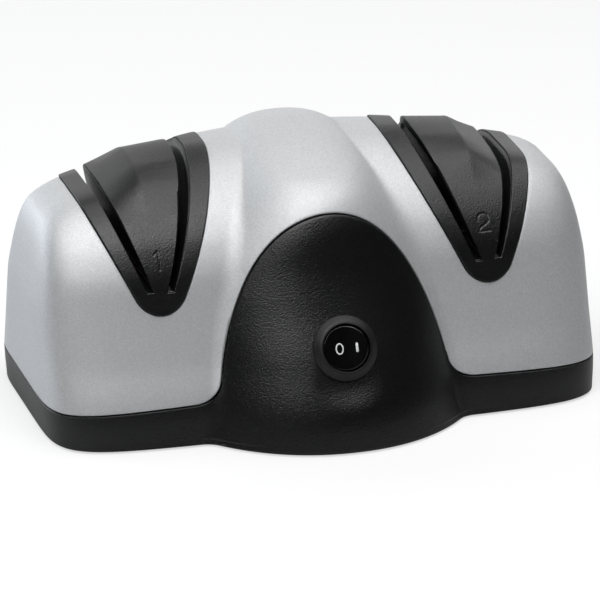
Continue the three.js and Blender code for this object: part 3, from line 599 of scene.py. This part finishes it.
def centreLine(fromHeight, toHeight, frontCount, backCount):
    # The body's outline in its middle plane, from the arch top over the crest down to the parting behind.
    start = onFace(0, fromHeight, -1)
    end = onFace(0, toHeight, 1)
    first = math.atan2(start[2] - shell.centreHeight, crestY - start[1])
    last = math.pi - math.atan2(end[2] - shell.centreHeight, end[1] - crestY)
    turn = np.linspace(first, last, frontCount + backCount)
    direction = np.stack([np.zeros(len(turn)), -np.cos(turn), np.sin(turn)], -1)
    return surfaceAlong(mapCentre, direction, *shell.lineReach)


def silverShell():
    # Each half is a ring-shaped grid from the insert's opening out to the parting, the arch and the middle
    # plane. A grid line runs straight in the map between matched points of the two outlines.
    count = shell.samples
    gap, fit = body.partingGap, body.insertFit
    arch = archOutline(gap)
    archPoints = onFace(arch[:, 0], arch[:, 1], -1)
    foot = partingPath(stageX, body.partingInnerX, -1, gap, 30)
    around = partingAround(stageX, gap, count * 3)
    end = int(np.argmax(around[:, 0]))
    line = centreLine(body.archHeight + gap, body.partingInner + gap, count, count)
    crest = int(np.argmin(np.abs(line[:, 1] - crestY)))
    opening = {(lean, face): toMap(openingSide(lean, face, fit, count)) for lean in (-1, 1) for face in (-1, 1)}
    archSpacing = (0, 0.2, 0.6, 1), (0, 0.12, 0.55, 1)
    # Each stretch: the opening's side, the shares of its length, the outer path, its cells and its spacing.
    stretches = [
        (opening[-1, -1], (0, 0.68), np.concatenate([foot[:-1], archPoints]), 120, archSpacing),
        (opening[-1, -1], (0.68, 1), line[:crest + 1], 50, ()),
        (opening[-1, 1][::-1], (0, 0.62), line[crest:], 70, ()),
        (opening[-1, 1][::-1], (0.62, 1), partingPath(0, stageX, 1, gap, 90), 50, ()),
        (opening[1, 1], (0, 1), around[end:][::-1], 80, ()),
        (opening[1, -1][::-1], (0, 1), around[:end + 1][::-1], 90, ()),
    ]
    inner, outer = [], []
    for near, (first, last), far, cells, spacing in stretches:
        inner.append(evenly(near, cells + 1, (0, 1), (first, last))[:-1])
        outer.append(evenly(toMap(far), cells + 1, *spacing)[:-1])
    middleFrom = len(inner[0])
    middleTo = middleFrom + len(inner[1]) + len(inner[2])
    inner, outer = np.concatenate(inner), np.concatenate(outer)
    t = np.linspace(0, 1, shell.outwards)
    t = t + shell.crowding * np.sin(2 * math.pi * t) / (2 * math.pi)
    place = inner[None] + (outer - inner)[None] * t[:, None, None]
    points = fromMap(place)
    points[-1, middleFrom:middleTo + 1, 0] = 0
    keep = np.ones((points.shape[0] - 1, points.shape[1]), bool)
    lastRound = np.ones(points.shape[1], bool)
    lastRound[middleFrom + 1:middleTo] = False
    wall = closedWall(points, keep, True, shell.edgeRound, lastRound)
    meshPiece("silverShell", "upper_housing", "silver_paint", *wall, mapCentre)


prepareForm(wing)
prepareForm(dome)
silverShell()


# The black housing is worked out over plan angle and height.
base = Sizes(
    aroundBand=420, aroundArch=240, rows=64, edgeRound=0.5, reach=(0.2, 1.7),
    floor=2.5, floorPoints=300, floorInset=0.006, holePoints=40, ventPoints=24,
    ventCount=5, ventPitch=7.0, ventWidth=3.0, ventLength=26.0, ventY=13.4,
    posts=((96.0, -22.6), (96.0, 51.4)), pocketRadius=3.7,
    feet=((84.0, -30.1), (84.0, 51.9)), footRoom=8.3, switchRoom=10.8,
    seatLift=1.2, seatFlat=12.9, seatRamp=26.0, seatRound=0.3,
)
switchFrame = Sizes(
    origin=np.array([0.0, -55.489, 37.0]), out=np.array([0.0, -0.904827, 0.425779]),
    up=np.array([0.0, 0.425779, 0.904827]), right=np.array([1.0, 0.0, 0.0]),
)


def atHeight(turn, z):
    # The body's surface at a height, in a plan direction.
    level = np.zeros(turn.shape)
    direction = np.stack([shell.across * np.cos(turn), shell.front * np.sin(turn), level], -1)
    return surfaceAlong(crestPlane(0, z), direction, *base.reach)


def cutSeat(points):
    # Under the bezel what stands in front of the seat is cut off, with a soft ramp round it.
    # The distance from the switch's axis comes back with the points.
    away = points - switchFrame.origin
    fromAxis = np.hypot(away[..., 0], away @ switchFrame.up)
    share = rampOver(fromAxis, base.seatRamp, base.seatFlat) * (points[..., 1] < 0)
    proud = away @ switchFrame.out - base.seatLift
    proud = (proud + np.hypot(proud, base.seatRound)) / 2 * smooth(share)
    return points - switchFrame.out * proud[..., None], fromAxis


def blackShell():
    # A grid between the top outline (parting and arch) and the rim: both ends of a grid line are given
    # as plan angle and height, and it runs straight between them.
    quarter = base.aroundBand // 2
    foot = body.partingInnerX
    arch = archOutline(0)
    archTop = onFace(arch[:, 0], arch[:, 1], -1)
    archTop = evenly(archTop, base.aroundArch // 2)
    corner = planAngle(archTop[:1])[0]
    turn = np.linspace(corner, math.pi / 2, quarter)
    z = np.full(quarter, body.partingEnd)
    for _ in range(body.partingRounds):
        z = partingHeight(atHeight(turn, z)[:, 0])
    topTurn = np.concatenate([planAngle(archTop)[::-1], turn[1:]])
    topHeight = np.concatenate([archTop[::-1, 2], z[1:]])
    rimTurn = np.concatenate([np.linspace(-math.pi / 2, corner, len(archTop)), turn[1:]])
    topTurn[0] = -math.pi / 2
    t = np.linspace(0, 1, base.rows)[:, None]
    angle = topTurn + (rimTurn - topTurn) * t
    height = topHeight + (body.rimHeight - topHeight) * t
    points = atHeight(angle, height)
    points[:, (0, -1), 0] = 0
    points, fromAxis = cutSeat(points)
    keep = ((fromAxis[1:, 1:] + fromAxis[:-1, :-1]) / 2 > base.switchRoom) | (points[1:, 1:, 1] > 0)
    wall = closedWall(points, keep, False, base.edgeRound)
    meshPiece("blackShell", "lower_housing", "black_plastic", *wall, mapCentre)


def ovalRing(x, y, width, length, count):
    # A slot with round ends, long along y; a circle where both sizes are equal.
    turn = np.linspace(0, 2 * math.pi, count, endpoint=False)
    straight = (length - width) / 2 * np.sign(np.sin(turn) + 1e-9)
    return np.stack([x + width / 2 * np.cos(turn), y + width / 2 * np.sin(turn) + straight], 1)


def floorPlate():
    # A flat plate between the rim's outline and the holes in it, filled in plan and given its thickness.
    turn = np.linspace(-math.pi, math.pi, base.floorPoints, endpoint=False)
    outline = atHeight(turn, np.full(turn.shape, body.rimHeight))[:, :2]
    rings = [outline + (np.array([0, crestY]) - outline) * base.floorInset]
    for side in (-1, 1):
        for places, radius in ((base.posts, base.pocketRadius), (base.feet, base.footRoom)):
            rings += [ovalRing(side * x, y, radius * 2, radius * 2, base.holePoints) for x, y in places]
    for i in range(base.ventCount):
        x = (i - (base.ventCount - 1) / 2) * base.ventPitch
        rings.append(ovalRing(x, base.ventY, base.ventWidth, base.ventLength, base.ventPoints))
    starts = np.cumsum([0] + [len(ring) for ring in rings])
    edges = [(a + i, a + (i + 1) % len(ring)) for ring, a in zip(rings, starts) for i in range(len(ring))]
    filled = delaunay_2d_cdt([Vector(p) for p in np.concatenate(rings)], edges, [], 1, 1e-5)
    flat, cells = np.array([tuple(v) for v in filled[0]]), np.array(filled[2])
    middle = flat[cells].mean(1)
    inHole = np.zeros(len(cells), bool)
    for ring in rings[1:]:
        low, high = ring.min(0), ring.max(0)
        half = (high - low) / 2
        over = np.maximum(np.abs(middle - (low + high) / 2) - (half - half.min()), 0)
        inHole |= np.hypot(over[:, 0], over[:, 1]) < half.min()
    z = np.full((len(flat), 1), body.rimHeight + base.floor)
    piece = meshPiece("floorPlate", "lower_housing", "black_plastic", np.hstack([flat, z]), cells[~inHole],
                      (0, 0, -1000))
    piece.data.shade_flat()
    thicken(piece, base.floor)


blackShell()
floorPlate()


# Guide inserts
guide = Sizes(
    proud=0.7, slotFloor=57.6, plate=3.0, edgeRound=0.4,
    slotInner=(2.6, 0.36), slotOuter=(5.2, 0.41),    # offset at the floor, and its gain with height
    middleColumns=34, slotColumns=5, stripColumns=8,
    tipRows=16, rowsBelow=14, rowsAbove=66, backRows=60,    # below and above the numeral
    centreHeight=14.0, rays=(10.0, 130.0), roofPassing=0.16, creaseRound=0.7, roofSteep=0.85,
    roof=(                           # depth share from the crest, then crease, inner and outer edge height shares
        (-0.55, 0.824, 0.832, 0.812), (-0.44, 0.905, 0.9, 0.868), (-0.34, 0.955, 0.953, 0.889),
        (-0.2, 0.986, 0.996, 0.902), (0, 0.998, 1.015, 0.911), (0.15, 0.978, 0.995, 0.912),
        (0.3, 0.921, 0.945, 0.885), (0.43, 0.867, 0.905, 0.817),
    ),
    wheelRoom=24.9, wheelHalf=3.4, shaftY=13.4, shaftHeight=40.0,
    troughWall=0.9, troughRows=14, troughTop=0.7, floorRows=90, floorColumns=6,
    floorInset=0.2, floorRoom=0.05,
)
numerals = Sizes(
    depth=0.28, half=0.27, low=64.4, high=74.6, rows=60, strokes={
        -1: (((-1.15, 70.6), (0.55, 72.0), (0.55, 65.7)),),
        1: (((-2.45, 71.2), (-2.3, 72.15), (-1.75, 72.95), (-0.9, 73.4), (0.1, 73.5), (1.05, 73.3), (1.8, 72.7),
             (2.15, 71.85), (2.0, 71.0), (1.35, 70.3), (0.2, 69.75), (-1.0, 69.25), (-1.9, 68.6), (-2.35, 67.7)),
            ((-2.0, 67.6), (2.1, 67.6))),
    },
)


def proudDistance(points):
    # Distance outside the body grown by the inserts' proud height.
    return bodyDistance(points, guide.proud)


def slotEdge(edge, z):
    # Offset of a slot's edge from the stage's middle: a flat wall that leans outwards with height.
    start, lean = edge
    return start + (z - guide.slotFloor) * lean


def depthShare(points):
    # Depth from the crest as a share of the wing's, ahead of the crest or behind it.
    y = points[..., 1] - crestY
    return y / np.where(y < 0, wing.front, wing.back)


def roofDistance(points, side):
    # Distance above the roof between the slots: two slopes from a crease over the stage's middle.
    share, *heights = np.array(guide.roof).T
    at = depthShare(points)
    crease, inner, outer = (easeThrough(share, height, at) * wing.height for height in heights)
    offset = points[..., 0] * side - stageX
    soft = np.hypot(offset, guide.creaseRound) - guide.creaseRound
    edge = np.where(offset < 0, inner, outer)
    height = crease + (edge - crease) * soft / slotEdge(guide.slotInner, edge)
    return (points[..., 2] - height) * guide.roofSteep


def overRoof(points, side, outside):
    # The roof in the middle of its depth, passing into the grown wing towards its ends.
    at = depthShare(points)
    first, last = guide.roof[0][0], guide.roof[-1][0]
    share = rampOver(np.minimum(at - first, last - at), 0, guide.roofPassing)
    return outside + (roofDistance(points, side) - outside) * smooth(share)


def stations(z):
    # Offsets of the slot's inner edge, its outer edge and the insert's edge from the stage's middle.
    level = np.maximum(z, guide.slotFloor)
    edge = halfOpening(z)
    ratio = np.where(z < guide.slotFloor, edge / halfOpening(np.full(np.shape(z), guide.slotFloor)), 1)
    return slotEdge(guide.slotInner, level) * ratio, slotEdge(guide.slotOuter, level) * ratio, edge


def strokeDistance(offset, z, strokes):
    # Distance in the front view to the nearest straight part of the strokes.
    nearest = np.full(z.shape, np.inf)
    for stroke in strokes:
        for (ax, az), (bx, bz) in zip(stroke[:-1], stroke[1:]):
            run = np.array([bx - ax, bz - az])
            t = np.clip(((offset - ax) * run[0] + (z - az) * run[1]) / (run @ run), 0, 1)
            nearest = np.minimum(nearest, np.hypot(offset - ax - t * run[0], z - az - t * run[1]))
    return nearest


def insertColumns():
    # Each column is (from station, to station, share between them); station 0 is the middle.
    # The last entry is the side: -1 towards the left, 1 towards the right.
    columns = [(0, 1, 0)]
    for station, count in enumerate((guide.middleColumns, guide.slotColumns, guide.stripColumns)):
        columns += [(station, station + 1, t) for t in np.linspace(0, 1, count + 1)[1:]]
    left = [(*column, -1) for column in columns[:0:-1]]
    return np.array(left + [(*column, 1) for column in columns])


def insertRows(side):
    # Angles about the stage's lower middle line, from the front tip over the crest to the back tip.
    turn = np.linspace(0, math.pi / 2 - body.slant, guide.tipRows)
    low = tipCentre - body.tipRadius * np.cos(turn)

    def angleOf(z, face):
        points = onFace(side * stageX, z, face, proudDistance)
        return np.arctan2(points[:, 2] - guide.centreHeight, crestY - points[:, 1])

    front, back = angleOf(low, -1), angleOf(low, 1)
    stops = (front[-1], *angleOf((numerals.low, numerals.high), -1), math.pi / 2)
    cells = (guide.rowsBelow, numerals.rows, guide.rowsAbove)
    ahead = np.concatenate([np.linspace(a, b, n + 1)[1:] for a, b, n in zip(stops[:-1], stops[1:], cells)])
    behind = np.linspace(math.pi / 2, back[-1], guide.backRows)[1:]
    return np.concatenate([front, ahead, behind, back[:-1][::-1]])


def insertSurface(side, angle, column):
    # Points of the insert's outer face: a ray at the row's angle, with the column's sideways place
    # growing with height, meets the grown wing or the roof between the slots.
    first, last, share, lean = column.T
    cosine, sine = np.cos(angle)[:, None], np.sin(angle)[:, None]

    def place(reach):
        z = guide.centreHeight + reach * sine
        marks = np.stack([np.zeros(z.shape), *stations(z)])
        rows, cols = np.ogrid[:z.shape[0], :z.shape[1]]
        a, b = marks[first.astype(int), rows, cols], marks[last.astype(int), rows, cols]
        x = side * (stageX + lean * (a + (b - a) * share))
        return np.stack([x, crestY - reach * cosine, z], -1)

    def inside(reach):
        points = place(reach)
        outside = proudDistance(points)
        return np.where(last == 1, overRoof(points, side, outside), outside) < 0

    reach = lastInside(inside, (len(angle), len(column)), *guide.rays)
    points = place(reach)
    away = strokeDistance(points[..., 0] - side * stageX, points[..., 2], numerals.strokes[side])
    groove = numerals.depth * np.exp(-(away / numerals.half) ** 2) * (points[..., 1] < crestY)
    return place(reach - groove)


def guideInsert(name, node, side):
    # The insert's outer face without its slots, as a plate with rounded edges.
    column, angle = insertColumns(), insertRows(side)
    points = insertSurface(side, angle, column)
    cells = np.ones((len(angle) - 1, len(column) - 1), bool)
    toSlot = (column[:, 1] == 2) * column[:, 3]
    slotColumn = (toSlot[1:] > 0) | (toSlot[:-1] < 0)
    above = (points[:-1, :-1, 2] + points[1:, 1:, 2]) / 2 > guide.slotFloor
    cells[above & slotColumn[None, :]] = False
    piece = meshPiece(name, node, "black_plastic", points.reshape(-1, 3),
                      gridFaces(*points.shape[:2], keep=cells), (side * stageX, crestY, 20))
    thicken(piece, guide.plate, guide.edgeRound)
    return points, column


def slotTroughs(name, node, side, points, column):
    # Straight walls from each slot's edges down to its floor, and the floor, open where the wheel comes up.
    floor = guide.slotFloor
    down = np.linspace(0, 1, guide.troughRows)[None]
    floorOffsets = np.linspace(guide.slotInner[0], guide.slotOuter[0], guide.floorColumns)[None]
    parts = []

    def addGrid(offset, y, z, turnOver):
        offset, y, z = np.broadcast_arrays(offset, y, z)
        grid = np.stack([side * stageX + offset, y, z], -1)
        cell = (grid[1:, 1:] + grid[:-1, :-1]) / 2
        reach = np.hypot(cell[..., 1] - guide.shaftY, cell[..., 2] - guide.shaftHeight)
        across = np.abs(cell[..., 0] - side * stageX)
        faces = gridFaces(*offset.shape, keep=(reach > guide.wheelRoom) | (across > guide.wheelHalf))
        parts.append((grid.reshape(-1, 3), faces[:, ::-1] if turnOver else faces))

    for lean in (-1, 1):
        for station, wall, sign in ((1, guide.slotInner, -1), (2, guide.slotOuter, 1)):
            edge = points[:, (column[:, 1:] == (station, 1, lean)).all(1)][:, 0]
            edge = edge[edge[:, 2] > floor + guide.floorRoom]
            top = np.maximum(edge[:, 2:] - guide.troughTop, floor)
            z = top + (floor - top) * down
            addGrid(lean * side * slotEdge(wall, z), edge[:, 1:2], z, lean * side * sign > 0)
        ends = edge[0, 1] + guide.floorInset, edge[-1, 1] - guide.floorInset
        y = np.linspace(*ends, guide.floorRows)[:, None]
        addGrid(lean * side * floorOffsets, y, floor, lean * side < 0)
    piece = meshPiece(name, node, "black_plastic", *joined(*parts))
    thicken(piece, guide.troughWall)


for name, node, side in (("Coarse", "guide_insert_coarse", -1), ("Fine", "guide_insert_fine", 1)):
    points, column = guideInsert("guideInsert" + name, node, side)
    slotTroughs("slotTroughs" + name, node, side, points, column)


# Round rocker switch, turned about its own axis
switch = Sizes(
    turns=144, tilt=math.radians(6), valleyRound=2.5, rockerDepth=0.8,
    bezel=((0, -17), (10, -17), (10, -3), (12, -3), (12, 0.9), (12.7, 0.9), (12.7, 1.8), (10.1, 4), (9.4, 4),
           (9.4, -8), (0, -8)),
    bezelRounds=(0, 0.6, 0.3, 0.3, 0.15, 0.15, 0.3, 0.8, 0.3, 0.3, 0), bezelMiddle=-9.0,
    rockerTop=2.2, rockerRadius=8.8, rockerFoot=-1.6, rockerRounds=(0, 0.9, 0.3, 0), topRings=12,
    # Terminal blades: thickness and width, the places across, where they start and end, and their taper.
    blade=(0.8, 4.8), bladeAt=(-5.0, 0.0, 5.0), bladeFrom=-16.2, bladeTo=-25.0,
    bladeDepths=(0, 0, 0.85, 0.97, 1, 1), bladeSizes=(0, 1, 1, 0.8, 0.5, 0),
    bladePower=0.3, bladePoints=24,
    # Half widths, half heights and half lines of the marks: zero (middle, width, height, line), one without width.
    markPoints=64, markLift=0.03, zero=(-2.35, -0.1, 1.35, 1.95, 0.27), one=(4.4, -0.2, 1.85, 0.5),
)


def roundedProfile(corners, rounds, steps=6):
    # Each corner becomes a parabola arc between two points at its radius along the sides.
    corners = np.array(corners, float)
    path = [corners[:1]]
    t = np.linspace(0, 1, steps)[:, None]
    for before, corner, after, radius in zip(corners[:-2], corners[1:-1], corners[2:], rounds[1:-1]):
        start = corner + (before - corner) * radius / np.linalg.norm(before - corner)
        end = corner + (after - corner) * radius / np.linalg.norm(after - corner)
        path.append(start * (1 - t) ** 2 + corner * 2 * t * (1 - t) + end * t ** 2)
    return np.concatenate(path + [corners[-1:]])


def inSwitch(x, y, z, tilt=0.0, lift=0.0):
    # From the switch's own axes, turned by the rocker's tilt and lifted, to the object's.
    turnedX, turnedZ = x * math.cos(tilt) - z * math.sin(tilt), x * math.sin(tilt) + z * math.cos(tilt) + lift
    return (switchFrame.origin + turnedX[..., None] * switchFrame.right + y[..., None] * switchFrame.up
            + turnedZ[..., None] * switchFrame.out)


def onRocker(x, y, z):
    # The rocker's two halves rise from its middle, with a soft change between them.
    rise = (np.hypot(x, switch.valleyRound) - switch.valleyRound) * math.tan(switch.tilt)
    return inSwitch(x, y, z + rise, switch.tilt, switch.rockerDepth)


def ringTurn(count):
    return np.linspace(0, 2 * math.pi, count, endpoint=False)[None]


def ringed(place, x, y, z):
    # Rings of points, placed in the object, with the faces between them.
    x, y, z = np.broadcast_arrays(x, y, z)
    return place(x, y, z).reshape(-1, 3), gridFaces(*x.shape, closed=True)


def turned(place, profile):
    # A profile of (radius, height) pairs turned about the switch's axis.
    turn = ringTurn(switch.turns)
    radius, z = profile[:, :1], profile[:, 1:]
    return ringed(place, radius * np.cos(turn), radius * np.sin(turn), z)


def bladePart(middle):
    # A rounded rectangle carried back, thinner at its end.
    turn = ringTurn(switch.bladePoints)
    depth, size = (np.array(shares)[:, None] for shares in (switch.bladeDepths, switch.bladeSizes))
    thick, wide = (breadth / 2 for breadth in switch.blade)
    across, up = (np.sign(wave) * np.abs(wave) ** switch.bladePower for wave in (np.cos(turn), np.sin(turn)))
    z = switch.bladeFrom + (switch.bladeTo - switch.bladeFrom) * depth
    return ringed(inSwitch, middle + thick * size * across, wide * size * up, z)


def switchBezel():
    parts = [turned(inSwitch, roundedProfile(switch.bezel, switch.bezelRounds))]
    parts += [bladePart(middle) for middle in switch.bladeAt]
    centre = inSwitch(*np.array((0, 0, switch.bezelMiddle)))
    meshPiece("switchBezel", "switch_body", "gloss_black", *joined(*parts), centre, look="bezel")


def switchRocker():
    top, foot, radius = switch.rockerTop, switch.rockerFoot, switch.rockerRadius
    profile = roundedProfile(((0, top), (radius, top), (radius, foot), (0, foot)), switch.rockerRounds, 8)
    across = np.linspace(0, radius - switch.rockerRounds[1], switch.topRings)[1:-1]
    profile = np.concatenate([profile[:1], np.stack([across, np.full(across.shape, top)], 1), profile[1:]])
    points, faces = turned(onRocker, profile)
    meshPiece("switchRocker", "switch_rocker", "gloss_black", points, faces, points.mean(0), "rocker")


def switchMarks():
    # A ring for off and a bar with round ends for on, each a thin raised film.
    top, lift = switch.rockerTop, switch.markLift
    turn = ringTurn(switch.markPoints)
    cosine, sine = np.cos(turn), np.sin(turn)
    middleX, middleY, wide, tall, line = switch.zero
    beside, level = np.array([(1, -lift), (1, lift), (-1, lift), (-1, -lift), (1, -lift)]).T[..., None]
    zero = ringed(onRocker, middleX + (wide + beside * line) * cosine, middleY + (tall + beside * line) * sine,
                  top + level)
    middleX, middleY, tall, line = switch.one
    size, level = np.array([(0, -lift), (1, -lift), (1, lift), (0, lift)]).T[..., None]
    one = ringed(onRocker, middleX + size * line * cosine,
                 middleY + size * (line * sine + (tall - line) * np.sign(sine)), top + level)
    meshPiece("switchMarks", None, None, *joined(zero, one), None, "rocker", "print")


switchBezel()
switchRocker()
switchMarks()


# Camera, floor and light
view = Sizes(
    yaw=16.13, elevation=21.2, distance=2379.0, lookAt=(0.0, -1.6, 43.9), shift=(-1.9, -6.6),
    focalPixels=6115.0, framePixels=600.0, sensor=36.0, clip=(0.05, 50.0),
)
# The stage is in metres. Its tones are shares of white.
stage = Sizes(
    floor=((-6, -6, 0), (6, -6, 0), (6, 6, 0), (-6, 6, 0)),
    wall=((-5, 3.6, 0), (5, 3.6, 0), (5, 3.6, 4.2), (-5, 3.6, 4.2)),
    paper=0.95, mirroredPaper=0.5, glow=1.03, glowShare=0.6, skyLight=0.05, sky=1.0,
)
lamps = {                            # place, target, size, watts, and a colour where it isn't white
    "topLamp": ((0, 0.05, 1.15), (0, 0, 0.05), (0.9, 0.9), 3.9),
    "frontLeftLamp": ((-0.45, -0.45, 0.95), (0, 0, 0.05), (0.7, 0.7), 5.6),
    "frontLamp": ((0.12, -0.45, 1.05), (0, 0, 0.05), (0.6, 0.45), 2.6),
    "rightLamp": ((0.6, 0.1, 0.95), (0, 0, 0.05), (0.6, 0.6), 2.2),
    "leftLamp": ((-1.1, 0.9, 0.45), (-0.05, 0, 0.05), (0.9, 0.7), 6.3, (0.84, 0.91, 1.0)),
}


def photoCamera():
    yaw, elevation = math.radians(view.yaw), math.radians(view.elevation)
    level = math.cos(elevation)
    forward = Vector((math.sin(yaw) * level, math.cos(yaw) * level, -math.sin(elevation)))
    right = Vector((math.cos(yaw), -math.sin(yaw), 0))
    up = right.cross(forward)
    place = Vector(view.lookAt) - forward * view.distance + right * view.shift[0] + up * view.shift[1]
    lens = bpy.data.cameras.new("photoCamera")
    lens.sensor_width = view.sensor
    lens.lens = view.sensor * view.focalPixels / view.framePixels
    lens.clip_start, lens.clip_end = view.clip
    camera = inScene("photoCamera", lens)
    camera.matrix_world = Matrix.Translation(place / 1000) @ Matrix((right, up, -forward)).transposed().to_4x4()
    bpy.context.scene.camera = camera


def softLamp(name, place, target, size, watts, colour=(1, 1, 1)):
    lamp = bpy.data.lights.new(name, "AREA")
    lamp.shape = "RECTANGLE"
    lamp.size, lamp.size_y = size
    lamp.energy = watts
    lamp.color = colour
    holder = inScene(name, lamp)
    holder.location = place
    holder.rotation_euler = (Vector(target) - Vector(place)).to_track_quat("-Z", "Y").to_euler()


def stagePlane(name, corners):
    # A plane of the stage with a bare material, which the caller fills.
    mesh = bpy.data.meshes.new(name)
    mesh.from_pydata(corners, [], [(0, 1, 2, 3)])
    inScene(name, mesh)
    material = bpy.data.materials.new(name)
    material.use_nodes = True
    material.node_tree.nodes.clear()
    mesh.materials.append(material)
    return material.node_tree


def studio():
    # A pale floor that keeps the object's shadow and glows a little for the camera, less pale in the
    # object's gloss. The backdrop is white, and the world is pale only where the camera sees it.
    tree = stagePlane("studioFloor", stage.floor)
    ray = addNode(tree, "LightPath")
    tone = spread(tree, ray["Is Glossy Ray"], stage.paper, stage.mirroredPaper)
    matt = addNode(tree, "BsdfDiffuse", {"Color": tone})
    glow = addNode(tree, "Emission", {"Strength": stage.glow})
    seen = spread(tree, ray["Is Camera Ray"], 0, stage.glowShare)
    mix = addNode(tree, "MixShader", {0: seen, 1: matt["BSDF"], 2: glow["Emission"]})
    addNode(tree, "OutputMaterial", {"Surface": mix["Shader"]})

    tree = stagePlane("studioBackdrop", stage.wall)
    addNode(tree, "OutputMaterial", {"Surface": addNode(tree, "Emission")["Emission"]})

    world = bpy.data.worlds.new("studioWorld")
    bpy.context.scene.world = world
    world.use_nodes = True
    tree = world.node_tree
    level = spread(tree, addNode(tree, "LightPath")["Is Camera Ray"], stage.skyLight, stage.sky)
    setInputs(tree, tree.nodes["Background"], {"Strength": level})

    for name, values in lamps.items():
        softLamp(name, *values)
    bpy.context.scene.view_settings.view_transform = "Standard"


photoCamera()
studio()
